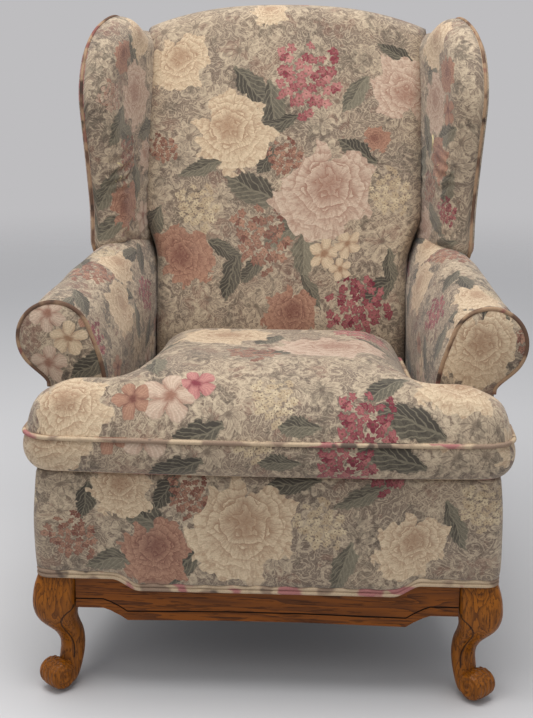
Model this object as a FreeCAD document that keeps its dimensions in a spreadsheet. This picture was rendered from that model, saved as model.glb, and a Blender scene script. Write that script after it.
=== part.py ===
import FreeCAD, Part
import math
import os
import re
import Sketcher

# Wing chair with show-wood apron, rolled arms and a loose T cushion
# X runs across the chair, the front faces -Y, Z is up and the floor is at zero

doc = FreeCAD.newDocument("wing_chair")

# Driving dimensions, in millimetres and degrees
driving = {
    # seat frame
    "frame_front": 385,
    "front_half": 354,
    "rear_half": 285,
    "back_line": 175,
    "rail_top": 300,
    "rail_bottom": 199,
    "rail_thick": 28,
    "post_size": 52,
    "block_reach": 70,
    "block_drop": 60,
    "block_height": 45,
    # show-wood apron
    "apron_end": 144,
    "apron_dip": 124,
    "apron_mid": 127,
    "apron_step": 220,
    "apron_flat": 60,
    "bead_width": 2.5,
    "bead_depth": 2,
    "bead_rise": 14,
    # front and rear legs
    "glide_height": 4,
    "glide_radius": 11,
    "foot_height": 30,
    "foot_radius": 30,
    "foot_out": 4,
    "ankle_height": 76,
    "ankle_radius": 19,
    "ankle_in": 13,
    "knee_height": 150,
    "knee_radius": 36,
    "knee_out": 5,
    "leg_top": 192,
    "leg_block_drop": 48,
    "rear_foot_back": 95,
    "rear_foot_depth": 32,
    "rear_post_width": 40,
    "post_depth": 50,
    # back frame
    "back_rake": 14,
    "post_drop": 76,
    "crest_pad": 28,
    "crest_rail_drop": 73,
    "crest_rail_wide": 50,
    "lower_rail_low": 60,
    "lower_rail_high": 110,
    # fabric, padding and running clearances
    "cover_thick": 9,
    "panel_thick": 8,
    "soft_gap": 0.6,
    "rest_gap": 0.3,
    "cord_size": 6,
    "double_cord": 14,
    # deck and front border
    "deck_top": 376,
    "border_thick": 12,
    "border_middle": 194,
    "border_side": 213,
    "border_step": 241,
    "border_turn": 197,
    "roll_back": 300,
    "burlap_thick": 3,
    "burlap_margin": 2,
    "dust_thick": 1.5,
    # springs
    "wire_radius": 2,
    "swing_half": 20,
    "clip_length": 12,
    "clip_height": 10,
    "spring_pitch": 100,
    "spring_turn": 22,
    # arms
    "arm_front": 282,
    "facing_thick": 8,
    "facing_proud": 3,
    "face_board_thick": 15,
    "stump_depth": 42,
    "stump_inside": 302,
    "arm_inner_front": 262,
    "arm_inner_rear": 233,
    "arm_top_front": 618,
    "arm_top_rear": 643,
    "arm_over_front": 53,
    "arm_over_rear": 18,
    "arm_roll_front": 58,
    "arm_roll_rear": 36,
    "arm_pad": 28,
    "arm_board_drop": 98,
    "arm_board_thick": 22,
    "arm_board_wide": 376,
    "arm_board_turn": 20,
    "panel_step": 8,
    # wings
    "wing_splay": 14,
    "wing_board": 18,
    "wing_pad": 34,
    "wing_bottom_drop": 10,
    "wing_heel": 55,
    "wing_low_reach": 207,
    "wing_reach": 270,
    "wing_reach_drop": 158,
    "wing_top_drop": 20,
    "wing_valley_drop": 49,
    # inside back
    "back_front": 110,
    "lumbar_height": 500,
    "crest_front": 284,
    "crest_height": 1070,
    "crest_drop": 52,
    "back_half_low": 224,
    "back_half_high": 250,
    "back_widen_low": 630,
    "back_widen_high": 690,
    # loose cushion
    "cushion_front": 420,
    "ear_half": 370,
    "ear_back": 306,
    "stem_front_half": 248,
    "stem_rear_half": 219,
    "cushion_back": 98,
    "boxing_height": 58,
    "crown_rise": 34,
    "crown_inset": 34,
    "crown_peak": 52,
    "crown_peak_inset": 62,
    "ear_round": 14,
    "front_flat": 200,
    # zipper
    "zipper_half": 150,
    "zipper_channel": 10,
    "zipper_depth": 6,
    "tape_thick": 2,
    "slider_length": 11,
    "slider_height": 7,
    "slider_thick": 2.6,
}

sheet = doc.addObject("Spreadsheet::Sheet", "dims")
for row, (alias, value) in enumerate(driving.items(), start=1):
    sheet.set("A%d" % row, alias)
    sheet.set("B%d" % row, str(value))
    sheet.setAlias("B%d" % row, alias)
doc.recompute()

size = {alias: float(sheet.get(alias)) for alias in driving}
vector = FreeCAD.Vector
nodes = {}
tan_rake = math.tan(math.radians(size["back_rake"]))
cos_rake = math.cos(math.radians(size["back_rake"]))


# Expressions name the sheet's cells by their alias, and every alias has an underscore
def linked(text):
    return re.sub(r"[a-z]+(?:_[a-z]+)+", r"dims.\g<0>", text)


def number(text):
    return float(sheet.evalExpression(linked(text)))


def bind(thing, path, text):
    thing.setExpression(path, linked(text))


def origin_plane(body, role):
    return [item for item in body.Origin.OriginFeatures if item.Role == role][0]


# A closed outline of straight sides, each corner held to the sheet by two dimensions
def outline_sketch(body, role, outline, offset="0"):
    sketch = body.newObject("Sketcher::SketchObject", body.Name + "_outline")
    sketch.AttachmentSupport = [(origin_plane(body, role), "")]
    sketch.MapMode = "FlatFace"
    bind(sketch, "AttachmentOffset.Base.z", offset)
    corners = [vector(number(x), number(y), 0) for x, y in outline]
    count = len(corners)
    for index in range(count):
        edge = Part.LineSegment(corners[index], corners[(index + 1) % count])
        sketch.addGeometry(edge, False)
    for index in range(count):
        sketch.addConstraint(Sketcher.Constraint("Coincident", index, 2, (index + 1) % count, 1))
    for index, (x, y) in enumerate(outline):
        across = sketch.addConstraint(
            Sketcher.Constraint("DistanceX", -1, 1, index, 1, corners[index].x))
        upward = sketch.addConstraint(
            Sketcher.Constraint("DistanceY", -1, 1, index, 1, corners[index].y))
        bind(sketch, "Constraints[%d]" % across, x)
        bind(sketch, "Constraints[%d]" % upward, y)
    return sketch


def pad(body, sketch, length):
    feature = body.newObject("PartDesign::Pad", body.Name + "_pad")
    feature.Profile = sketch
    bind(feature, "Length", length)
    return feature


# XY_Plane outlines are padded upward, XZ_Plane outlines towards -Y, YZ_Plane outlines towards +X
def padded_body(name, role, outline, offset, length):
    body = doc.addObject("PartDesign::Body", name)
    pad(body, outline_sketch(body, role, outline, offset), length)
    return body


def box(name, x_from, y_from, z_from, x_to, y_to, z_to):
    solid = doc.addObject("Part::Box", name)
    bind(solid, "Length", "(%s) - (%s)" % (x_to, x_from))
    bind(solid, "Width", "(%s) - (%s)" % (y_to, y_from))
    bind(solid, "Height", "(%s) - (%s)" % (z_to, z_from))
    bind(solid, "Placement.Base.x", x_from)
    bind(solid, "Placement.Base.y", y_from)
    bind(solid, "Placement.Base.z", z_from)
    return solid


def cylinder(name, radius, height, x, y, z):
    solid = doc.addObject("Part::Cylinder", name)
    bind(solid, "Radius", radius)
    bind(solid, "Height", height)
    bind(solid, "Placement.Base.x", x)
    bind(solid, "Placement.Base.y", y)
    bind(solid, "Placement.Base.z", z)
    return solid


def cut(name, base, *tools):
    tool = tools[0]
    if len(tools) > 1:
        tool = doc.addObject("Part::MultiFuse", name + "_tools")
        tool.Shapes = list(tools)
    result = doc.addObject("Part::Cut", name)
    result.Base = base
    result.Tool = tool
    return result


def fuse(name, *pieces):
    result = doc.addObject("Part::MultiFuse", name)
    result.Shapes = list(pieces)
    return result


def common(name, first, second):
    result = doc.addObject("Part::Common", name)
    result.Base = first
    result.Tool = second
    return result


def mirrored(name, source):
    result = doc.addObject("Part::Mirroring", name)
    result.Source = source
    result.Normal = vector(1, 0, 0)
    return result


def soft_piece(name, shape, placement=None):
    piece = doc.addObject("Part::Feature", name)
    piece.Shape = shape
    if placement is not None:
        piece.Placement = placement
    return piece


def keep(name, thing):
    thing.Label = name
    nodes[name] = thing
    return thing


# A piece on the right-hand side and its twin on the left
def keep_pair(name, right_piece):
    keep(name + "_right", right_piece)
    left_piece = mirrored(name + "_left", right_piece)
    keep(name + "_left", left_piece)


def face_of(points):
    return Part.Face(Part.makePolygon(points + [points[0]]))


def loft_of(sections):
    wires = [Part.makePolygon(section + [section[0]]) for section in sections]
    return Part.makeLoft(wires, True, True)


# Moves an open or closed run of points to its right-hand side by one distance
def moved_run(points, distance, closed=False):
    count = len(points)
    normals = []
    for index in range(count if closed else count - 1):
        ax, ay = points[index]
        bx, by = points[(index + 1) % count]
        length = math.hypot(bx - ax, by - ay)
        normals.append(((by - ay) / length, (ax - bx) / length))
    result = []
    for index, (px, py) in enumerate(points):
        if closed:
            before, after = normals[index - 1], normals[index]
        else:
            before = normals[max(index - 1, 0)]
            after = normals[min(index, count - 2)]
        spread = 1 + before[0] * after[0] + before[1] * after[1]
        shift_x = (before[0] + after[0]) / spread
        shift_y = (before[1] + after[1]) / spread
        result.append((px + shift_x * distance, py + shift_y * distance))
    return result


# The side rail's outer face as an expression and as a number
side_slope = "((rear_half - front_half) / (back_line + frame_front - post_size))"


def rail_outside(y):
    return "(front_half + %s * ((%s) + frame_front - post_size))" % (side_slope, y)


def rail_outside_at(y):
    slope = (size["rear_half"] - size["front_half"]) / (
        size["back_line"] + size["frame_front"] - size["post_size"])
    return size["front_half"] + slope * (y + size["frame_front"] - size["post_size"])


# How far back a plane parallel to the posts' front faces lies at one height
def rear_plane(height, depth):
    return size["back_line"] + depth / cos_rake + (height - size["rail_top"]) * tan_rake


def raked(thing):
    thing.Placement = FreeCAD.Placement(vector(), FreeCAD.Rotation(vector(1, 0, 0), -1))
    bind(thing, "Placement.Rotation.Angle", "-back_rake")
    bind(thing, "Placement.Base.y", "back_line")
    bind(thing, "Placement.Base.z", "rail_top")
    return thing


# Front rail: an oak apron with a shaped lower edge and an incised line along it
post_inner = "front_half - post_size"
apron_low = [
    (post_inner, "apron_end"),
    ("apron_step + 38", "apron_end"),
    ("apron_step + 27", "apron_end - 4"),
    ("apron_step + 12", "apron_end - 12"),
    ("apron_step", "apron_dip"),
]
apron_left = [("-(%s)" % x, z) for x, z in reversed(apron_low)]
apron_outline = (
    [("-(%s)" % post_inner, "rail_top"), (post_inner, "rail_top")]
    + apron_low
    + [("apron_flat", "apron_mid"), ("-apron_flat", "apron_mid")]
    + apron_left
)
front_rail_blank = padded_body(
    "front_rail_blank", "XZ_Plane", apron_outline, "frame_front - rail_thick", "rail_thick")
line_low = [(x, "%s + bead_rise" % z) for x, z in apron_low]
line_low += [("apron_flat", "apron_mid + bead_rise"), ("-apron_flat", "apron_mid + bead_rise")]
line_low += [(x, "%s + bead_rise" % z) for x, z in apron_left]
line_high = [(x, "%s + bead_width" % z) for x, z in reversed(line_low)]
incised_line = padded_body(
    "incised_line", "XZ_Plane", line_low + line_high, "frame_front - bead_depth", "bead_depth + 5")
keep("front_rail", cut("front_rail", front_rail_blank, incised_line))

# Side rails, splayed from the front posts to the back posts
post_rear = "-(frame_front - post_size)"
side_rail = padded_body(
    "side_rail_right", "XY_Plane",
    [
        ("front_half - rail_thick", post_rear),
        ("front_half", post_rear),
        ("rear_half", "back_line"),
        ("rear_half - rail_thick", "back_line"),
    ],
    "rail_bottom", "rail_top - rail_bottom")
keep_pair("side_rail", side_rail)

# Rear rail between the back posts
post_inside = "rear_half - rear_post_width"
post_rear_face = "back_line + post_depth / cos(back_rake)"
keep("rear_rail", box(
    "rear_rail",
    "-(%s)" % post_inside, post_rear_face + " - rail_thick", "rail_bottom",
    post_inside, post_rear_face, "rail_top"))

# Corner blocks glued and screwed inside the four corners
front_face_in = "-(frame_front - rail_thick)"
block_end = "-(frame_front - post_size) + block_reach"
front_block = padded_body(
    "front_corner_block_right", "XY_Plane",
    [
        (post_inner + " - block_reach", front_face_in),
        (post_inner, front_face_in),
        (post_inner, post_rear),
        ("front_half - rail_thick", post_rear),
        (rail_outside(block_end) + " - rail_thick", block_end),
    ],
    "rail_top - block_drop", "block_height")
rear_face_in = post_rear_face + " - rail_thick"
rear_block = padded_body(
    "rear_corner_block_right", "XY_Plane",
    [
        (post_inside, rear_face_in),
        (post_inside + " - block_reach", rear_face_in),
        (rail_outside("back_line - 50") + " - rail_thick", "back_line - 50"),
        ("rear_half - rail_thick", "back_line"),
        (post_inside, "back_line"),
    ],
    "rail_top - block_drop", "block_height")
corner_blocks = doc.addObject("Part::Compound", "corner_blocks")
corner_blocks.Links = [
    front_block, rear_block,
    mirrored("front_corner_block_left", front_block),
    mirrored("rear_corner_block_left", rear_block),
]
keep("corner_blocks", corner_blocks)

# Front legs: a square block in the seat frame and a cabriole curve down to a scroll foot
leg_x = "front_half - post_size / 2"
leg_y = "-(frame_front - post_size / 2)"


def leg_section(body, index, height, radius, out):
    sketch = body.newObject("Sketcher::SketchObject", body.Name + "_section_%d" % index)
    sketch.AttachmentSupport = [(origin_plane(body, "XY_Plane"), "")]
    sketch.MapMode = "FlatFace"
    bind(sketch, "AttachmentOffset.Base.z", height)
    center_x = "%s + (%s)" % (leg_x, out)
    center_y = "%s - (%s)" % (leg_y, out)
    center = vector(number(center_x), number(center_y), 0)
    sketch.addGeometry(Part.Circle(center, vector(0, 0, 1), number(radius)), False)
    rim = sketch.addConstraint(Sketcher.Constraint("Radius", 0, number(radius)))
    across = sketch.addConstraint(Sketcher.Constraint("DistanceX", -1, 1, 0, 3, center.x))
    along = sketch.addConstraint(Sketcher.Constraint("DistanceY", -1, 1, 0, 3, center.y))
    bind(sketch, "Constraints[%d]" % rim, radius)
    bind(sketch, "Constraints[%d]" % across, center_x)
    bind(sketch, "Constraints[%d]" % along, center_y)
    return sketch


front_leg = doc.addObject("PartDesign::Body", "front_leg_right")
leg_curve = [
    ("glide_height", "foot_radius * 0.8", "foot_out"),
    ("foot_height", "foot_radius", "foot_out"),
    ("ankle_height - 12", "ankle_radius + 2", "-ankle_in + 2"),
    ("ankle_height + 4", "ankle_radius", "-ankle_in"),
    ("(ankle_height + knee_height) / 2", "(ankle_radius + knee_radius) / 2", "-ankle_in / 2 + 2"),
    ("knee_height", "knee_radius", "knee_out"),
    ("leg_top", "knee_radius - 4", "knee_out - 3"),
]
leg_sections = [leg_section(front_leg, index, *part) for index, part in enumerate(leg_curve)]
leg_loft = front_leg.newObject("PartDesign::AdditiveLoft", "front_leg_loft")
leg_loft.Profile = leg_sections[0]
leg_loft.Sections = leg_sections[1:]
post_outline = [
    (post_inner, "-frame_front"),
    ("front_half", "-frame_front"),
    ("front_half", post_rear),
    (post_inner, post_rear),
]
leg_block = padded_body(
    "leg_block", "XY_Plane", post_outline, "leg_top - leg_block_drop",
    "rail_top - leg_top + leg_block_drop")
leg_whole = fuse("leg_whole", front_leg, leg_block)
apron_side = padded_body(
    "apron_side", "XY_Plane",
    [
        (post_inner + " - 100", "-(frame_front + 100)"),
        (post_inner, "-(frame_front + 100)"),
        (post_inner, post_rear + " + 80"),
        (post_inner + " - 100", post_rear + " + 80"),
    ],
    "apron_end", "rail_top - apron_end + 10")
keep_pair("front_leg", cut("front_leg_trimmed", leg_whole, apron_side))

# Back posts: one dog-leg piece each, from the rear foot to the crest
post_tip_z = "(crest_height - post_drop)"
post_tip_y = "back_line + (crest_height - post_drop - rail_top) * tan(back_rake)"
back_post_outline = [
    ("back_line + rear_foot_back", "glide_height"),
    ("back_line + rear_foot_back + rear_foot_depth", "glide_height"),
    (post_rear_face, "rail_bottom"),
    (post_rear_face, "rail_top"),
    (post_tip_y + " + post_depth * cos(back_rake)", post_tip_z + " - post_depth * sin(back_rake)"),
    (post_tip_y, post_tip_z),
    ("back_line", "rail_top"),
    ("back_line", "rail_bottom"),
]
back_post = padded_body(
    "back_post_right", "YZ_Plane", back_post_outline, post_inside, "rear_post_width")
keep_pair("back_post", back_post)

# Floor glides under the four feet
glide_spots = [
    ("foot_out + front_half - post_size / 2", "-(frame_front - post_size / 2) - foot_out"),
    ("rear_half - rear_post_width / 2", "back_line + rear_foot_back + rear_foot_depth / 2"),
]
glides = []
for number_of_pair, (glide_x, glide_y) in enumerate(glide_spots):
    for side, sign in (("right", ""), ("left", "-")):
        glides.append(cylinder(
            "glide_%d_%s" % (number_of_pair, side),
            "glide_radius", "glide_height", "%s(%s)" % (sign, glide_x), glide_y, "0"))
floor_glides = doc.addObject("Part::Compound", "floor_glides")
floor_glides.Links = glides
keep("floor_glides", floor_glides)

# Back frame: arched crest rail and lower rail between the posts, in the raked plane
crest_rail_top = "((crest_height - crest_pad - rail_top) / cos(back_rake))"
crest_rail_low = "(%s - crest_rail_drop - crest_rail_wide)" % crest_rail_top
crest_arch = []
arch_steps = 8
for step in range(arch_steps + 1):
    share = 1 - 2 * step / arch_steps
    crest_arch.append((
        "(%s) * %.3f" % (post_inside, share),
        "%s - crest_rail_drop * %.4f" % (crest_rail_top, abs(share) ** 3),
    ))
crest_outline = [("-(%s)" % post_inside, crest_rail_low), (post_inside, crest_rail_low)]
crest_rail = padded_body(
    "back_crest_rail", "XZ_Plane", crest_outline + crest_arch, "-rail_thick", "rail_thick")
keep("back_crest_rail", raked(crest_rail))
lower_outline = [
    ("-(%s)" % post_inside, "lower_rail_low"),
    (post_inside, "lower_rail_low"),
    (post_inside, "lower_rail_high"),
    ("-(%s)" % post_inside, "lower_rail_high"),
]
lower_rail = padded_body(
    "back_lower_rail", "XZ_Plane", lower_outline, "-rail_thick", "rail_thick")
keep("back_lower_rail", raked(lower_rail))


# Sinuous spring: bars across, joined at alternate ends by half turns
def sinuous_spring(length, swing, wire_radius):
    turns = max(int(round(length / size["spring_turn"])), 2)
    turn_radius = length / turns / 2
    edges = []
    for turn in range(turns + 1):
        along = turn * turn_radius * 2
        way = 1 if turn % 2 == 0 else -1
        bar_start = vector(-way * swing, along, 0)
        bar_end = vector(way * swing, along, 0)
        edges.append(Part.makeLine(bar_start, bar_end))
        if turn < turns:
            middle = vector(way * (swing + turn_radius), along + turn_radius, 0)
            next_bar = vector(way * swing, along + turn_radius * 2, 0)
            edges.append(Part.Arc(bar_end, middle, next_bar).toShape())
    path = Part.Wire(edges)
    section = Part.Wire(Part.makeCircle(wire_radius, vector(-swing, 0, 0), vector(1, 0, 0)))
    return path.makePipeShell([section], True, True)


# Seat springs run from clips on the front rail to clips on the rear rail
spring_height = size["rail_top"] + size["clip_height"] / 2
clip_front_y = -(size["frame_front"] - size["rail_thick"]) - 2 - size["clip_length"] / 2
clip_rear_y = size["back_line"] + size["post_depth"] / cos_rake - size["rail_thick"] / 2
seat_spring_shapes = []
clips = []
for place in (-2, -1, 0, 1, 2):
    wire = sinuous_spring(clip_rear_y - clip_front_y, size["swing_half"], size["wire_radius"])
    wire.translate(vector(place * size["spring_pitch"], clip_front_y, spring_height))
    seat_spring_shapes.append(wire)
    for end, clip_y in (("front", clip_front_y), ("rear", clip_rear_y)):
        clip = Part.makeBox(
            size["swing_half"], size["clip_length"], size["clip_height"],
            vector(
                place * size["spring_pitch"] - size["swing_half"] / 2,
                clip_y - size["clip_length"] / 2,
                size["rail_top"]))
        bore = Part.makeCylinder(
            size["wire_radius"] + size["rest_gap"], size["swing_half"] + 2,
            vector(place * size["spring_pitch"] - size["swing_half"] / 2 - 1, clip_y, spring_height),
            vector(1, 0, 0))
        clips.append(clip.cut(bore))
keep("seat_springs", soft_piece("seat_springs", Part.makeCompound(seat_spring_shapes)))
keep("spring_clips", soft_piece("spring_clips", Part.makeCompound(clips)))

# Back springs stand between the lower rail and the crest rail
back_spring_shapes = []
back_spring_low = size["lower_rail_high"] + size["wire_radius"] + size["rest_gap"]
back_spring_high = number(crest_rail_low) - size["wire_radius"] - size["rest_gap"]
for place in (-1, 0, 1):
    wire = sinuous_spring(
        back_spring_high - back_spring_low, size["swing_half"] * 0.8, size["wire_radius"] * 0.8)
    wire.rotate(vector(), vector(1, 0, 0), 90)
    wire.translate(vector(
        place * size["spring_pitch"] * 1.4, size["rail_thick"] / 2, back_spring_low))
    back_spring_shapes.append(wire)
back_springs = soft_piece("back_springs", Part.makeCompound(back_spring_shapes))
keep("back_springs", raked(back_springs))

# Front edge roll over the rail, behind it the burlap, deck padding and deck cover
edge_roll = padded_body(
    "front_edge_roll", "YZ_Plane",
    [
        ("-(frame_front - soft_gap)", "rail_top"),
        ("-(frame_front - 10)", "rail_top"),
        ("-(frame_front - 10)", "rail_top + clip_height + soft_gap"),
        ("-(roll_back + soft_gap)", "rail_top + clip_height + soft_gap"),
        ("-(roll_back + soft_gap)", "deck_top - panel_thick - soft_gap"),
        ("-(frame_front - soft_gap)", "deck_top - panel_thick - soft_gap"),
    ],
    "-(front_half - soft_gap)", "2 * (front_half - soft_gap)")
keep("front_edge_roll", edge_roll)


def arm_inside(y):
    return (
        "(arm_inner_front + (arm_inner_rear - arm_inner_front)"
        " * ((%s) + arm_front) / (back_line + arm_front))" % y)


def deck_outline(front, rear, margin):
    right_side = [
        (arm_inside(front) + " - " + margin, front),
        (arm_inside(rear) + " - " + margin, rear),
    ]
    left_side = [("-(%s)" % x, y) for x, y in reversed(right_side)]
    return right_side + left_side


burlap_low = "rail_top + clip_height / 2 + wire_radius + rest_gap"
burlap = padded_body(
    "deck_burlap", "XY_Plane", deck_outline("-roll_back", "back_front", "burlap_margin"),
    burlap_low, "burlap_thick")
keep("deck_burlap", burlap)
deck_pad = padded_body(
    "deck_pad", "XY_Plane", deck_outline("-roll_back", "back_front", "burlap_margin"),
    burlap_low + " + burlap_thick",
    "deck_top - panel_thick - (%s) - burlap_thick" % burlap_low)
keep("deck_pad", deck_pad)
deck_cover = padded_body(
    "deck_cover", "XY_Plane", deck_outline("-(roll_back - soft_gap)", "back_front", "burlap_margin"),
    "deck_top - panel_thick", "panel_thick")
keep("deck_cover", deck_cover)

# Border: the fabric panel over the front of the seat, its top lap and its side returns
border_outline = [
    ("front_half + panel_thick", "border_side"),
    ("front_half + panel_thick", "deck_top"),
    ("-(front_half + panel_thick)", "deck_top"),
    ("-(front_half + panel_thick)", "border_side"),
    ("-border_step", "border_side"),
    ("-(border_step + border_turn) / 2", "(border_side + border_middle) / 2"),
    ("-border_turn", "border_middle"),
    ("border_turn", "border_middle"),
    ("(border_step + border_turn) / 2", "(border_side + border_middle) / 2"),
    ("border_step", "border_side"),
]
border_panel = padded_body(
    "border_panel", "XZ_Plane", border_outline, "frame_front", "border_thick")
border_lap = box(
    "border_lap",
    "-(front_half + panel_thick)", "-frame_front", "deck_top - panel_thick",
    "front_half + panel_thick", "-roll_back", "deck_top")
keep("front_border_cover", fuse("front_border_cover", border_panel, border_lap))
arm_face_y = "-(arm_front + facing_thick)"
border_return = box(
    "border_return_right",
    "front_half", "-frame_front", "border_side",
    "front_half + panel_thick", arm_face_y, "deck_top - panel_thick")
keep_pair("border_return", border_return)

# Double welt: two cords along the lower edge, round the front and both sides
welt_high = border_outline[3:] + border_outline[:1]
welt_low = [(x, "%s - double_cord" % z) for x, z in reversed(welt_high)]
welt_front = padded_body(
    "welt_front", "XZ_Plane", welt_high + welt_low, "frame_front", "panel_thick")
welt_side_plan = [
    ("front_half", "-frame_front"),
    ("front_half + panel_thick", "-frame_front"),
    ("front_half + panel_thick", post_rear),
    ("rear_half + panel_thick", "back_line"),
    ("rear_half + panel_thick", post_rear_face),
    ("rear_half", post_rear_face),
    ("rear_half", "back_line"),
    ("front_half", post_rear),
]
welt_side = padded_body(
    "welt_side", "XY_Plane", welt_side_plan, "border_side - double_cord", "double_cord")
welt_side_left = mirrored("welt_side_left", welt_side)
keep("double_welt", fuse("double_welt", welt_front, welt_side, welt_side_left))

# Dust cover tacked under the seat
dust_right = [
    (post_inner + " - 1", "-(frame_front - rail_thick - 1)"),
    (post_inner + " - 1", post_rear + " + 1"),
    ("front_half - 8", post_rear + " + 1"),
    ("rear_half - 8", "back_line - 1"),
    (post_inside + " - 1", "back_line - 1"),
    (post_inside + " - 1", post_rear_face + " - 4"),
]
dust_left = [("-(%s)" % x, y) for x, y in reversed(dust_right)]
keep("dust_cover", padded_body(
    "dust_cover", "XY_Plane", dust_right + dust_left,
    "rail_bottom - dust_thick", "dust_thick"))


# Arms: every soft section is the same run of points, up the inside, round the roll and under it
def arm_share(y):
    return (y + size["arm_front"]) / (size["back_line"] + size["arm_front"])


def between(first, last, share):
    return size[first] + (size[last] - size[first]) * share


def arm_run(y, base):
    share = arm_share(y)
    inner = between("arm_inner_front", "arm_inner_rear", share)
    outer = rail_outside_at(y)
    radius = between("arm_roll_front", "arm_roll_rear", share)
    middle_x = outer + between("arm_over_front", "arm_over_rear", share) - radius
    middle_z = between("arm_top_front", "arm_top_rear", share) - radius
    run = [(inner, base), (inner, middle_z - 0.95 * radius)]
    for angle in range(160, -51, -30):
        turn = math.radians(angle)
        run.append((middle_x + radius * math.cos(turn), middle_z + radius * math.sin(turn)))
    run.append((outer, middle_z - 1.15 * radius))
    return run


def at_depth(points, y):
    return [vector(x, y, z) for x, z in points]


arm_start = -size["arm_front"]
arm_finish = size["back_line"] + (size["arm_top_rear"] - size["rail_top"]) * tan_rake + 10


def arm_loft(section_of, start, finish):
    return loft_of([at_depth(section_of(y), y) for y in (start, finish)])


def cover_section(y):
    run = arm_run(y, size["rail_top"])
    return run + list(reversed(moved_run(run, size["cover_thick"])))


def pad_section(y):
    run = moved_run(arm_run(y, size["rail_top"]), size["cover_thick"] + size["soft_gap"])
    hollow_x = run[0][0] + size["arm_pad"]
    return run + [(hollow_x, run[-1][1]), (hollow_x, size["rail_top"])]


def facing_section(y, inset):
    run = moved_run(arm_run(y, size["deck_top"] + 2), inset)
    return run + [(run[-1][0], size["deck_top"] + 2)]


def envelope_section(y):
    run = moved_run(arm_run(y, size["rail_top"]), -size["soft_gap"])
    return run + [(run[-1][0], size["rail_top"])]


# Everything behind the front faces of the back posts
behind = Part.makeBox(1400, 500, 1600, vector(-700, 0, -500))
behind.rotate(vector(), vector(1, 0, 0), -size["back_rake"])
behind.translate(vector(0, size["back_line"], size["rail_top"]))
behind_back = soft_piece("behind_back", behind)

arm_board_low = "(arm_top_rear - arm_board_drop)"
arm_board_level = number(arm_board_low)

# Arm stump on the side rail, arm board from the stump to the back post, scroll board in front
face_board_back = "-(arm_front - face_board_thick)"
stump_back = "-(arm_front - face_board_thick - stump_depth)"
stump = padded_body(
    "arm_stump_right", "XY_Plane",
    [
        ("stump_inside", face_board_back),
        (rail_outside(face_board_back), face_board_back),
        (rail_outside(stump_back), stump_back),
        ("stump_inside", stump_back),
    ],
    "rail_top", arm_board_low + " - rail_top")
keep_pair("arm_stump", stump)
board_turn = "-arm_board_turn"
arm_board_blank = padded_body(
    "arm_board_blank", "XY_Plane",
    [
        ("stump_inside", face_board_back),
        ("arm_board_wide", face_board_back),
        (rail_outside(board_turn) + " - cover_thick", board_turn),
        ("rear_half - 2", "back_line"),
        ("rear_half - 2", "back_line + 90"),
        (post_inside, "back_line + 90"),
    ],
    arm_board_low, "arm_board_thick")
arm_board = cut("arm_board_right", arm_board_blank, behind_back)
keep_pair("arm_board", arm_board)
face_board_y = arm_start + size["face_board_thick"]


def face_board_section(y):
    return facing_section(y, size["cover_thick"] + size["soft_gap"])


face_board_shape = arm_loft(face_board_section, arm_start, face_board_y)
keep_pair("arm_face_board", soft_piece("arm_face_board_right", face_board_shape))

# Arm facing: the padded fabric panel in front, with a cord round its edge
facing_y = arm_start - size["facing_thick"]
facing_shape = face_of(
    at_depth(facing_section(arm_start, size["cord_size"]), facing_y)
).extrude(vector(0, size["facing_thick"], 0))
keep_pair("arm_facing", soft_piece("arm_facing_right", facing_shape))
cord_run = arm_run(arm_start, size["deck_top"] + 2)
cord_outline = cord_run + list(reversed(moved_run(cord_run, size["cord_size"])))
facing_cord = face_of(
    at_depth(cord_outline, facing_y - size["facing_proud"])
).extrude(vector(0, size["facing_thick"] + size["facing_proud"], 0))
keep_pair("arm_facing_welt", soft_piece("arm_facing_welt_right", facing_cord))

# Wings: boards and padding in a plane that holds the raked post and splays out forward
splay = math.radians(size["wing_splay"])
rake = math.radians(size["back_rake"])
back_frame = FreeCAD.Placement(
    vector(0, size["back_line"], size["rail_top"]),
    FreeCAD.Rotation(vector(1, 0, 0), -size["back_rake"]))
board_middle = size["rear_half"] - size["wing_board"] / 2
wing_frame = back_frame.multiply(FreeCAD.Placement(
    vector(board_middle, 0, 0), FreeCAD.Rotation(vector(0, 0, 1), size["wing_splay"])))


# Outline of the wing: each point is its distance in front of the post line and its height
# The heel is the stretch beside the post that goes on down to the arm board
def wing_outline(bottom, heel_bottom):
    low = size["wing_low_reach"]
    far = size["wing_reach"]
    mid = size["crest_height"] - size["wing_reach_drop"]
    top = size["crest_height"] - size["wing_top_drop"]
    valley = size["crest_height"] - size["wing_valley_drop"]
    behind_post = -60
    points = [
        (behind_post, heel_bottom),
        (behind_post, valley),
        (45, valley),
        (80, (valley + top) / 2),
        (115, top),
        (160, top - 5),
        (far - 55, top - 24),
        (far - 20, top - 54),
        (far - 4, top - 96),
        (far, mid),
        (far - 12, mid - 42),
        (far - 27, mid - 90),
        (far - 48, mid - 162),
        (far - 61, mid - 214),
        (low, bottom),
    ]
    if heel_bottom < bottom:
        points += [(size["wing_heel"], bottom), (size["wing_heel"], heel_bottom)]
    return [
        (forward * cos_rake / math.cos(splay),
         (height - size["rail_top"]) / cos_rake - forward * math.sin(rake))
        for forward, height in points
    ]


# A slab of the wing between two distances from the middle of its board, positive outward
def wing_slab(outline, low, high):
    points = [vector(low, -reach, height) for reach, height in outline]
    slab = face_of(points).extrude(vector(high - low, 0, 0))
    slab.Placement = wing_frame
    return slab


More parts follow.
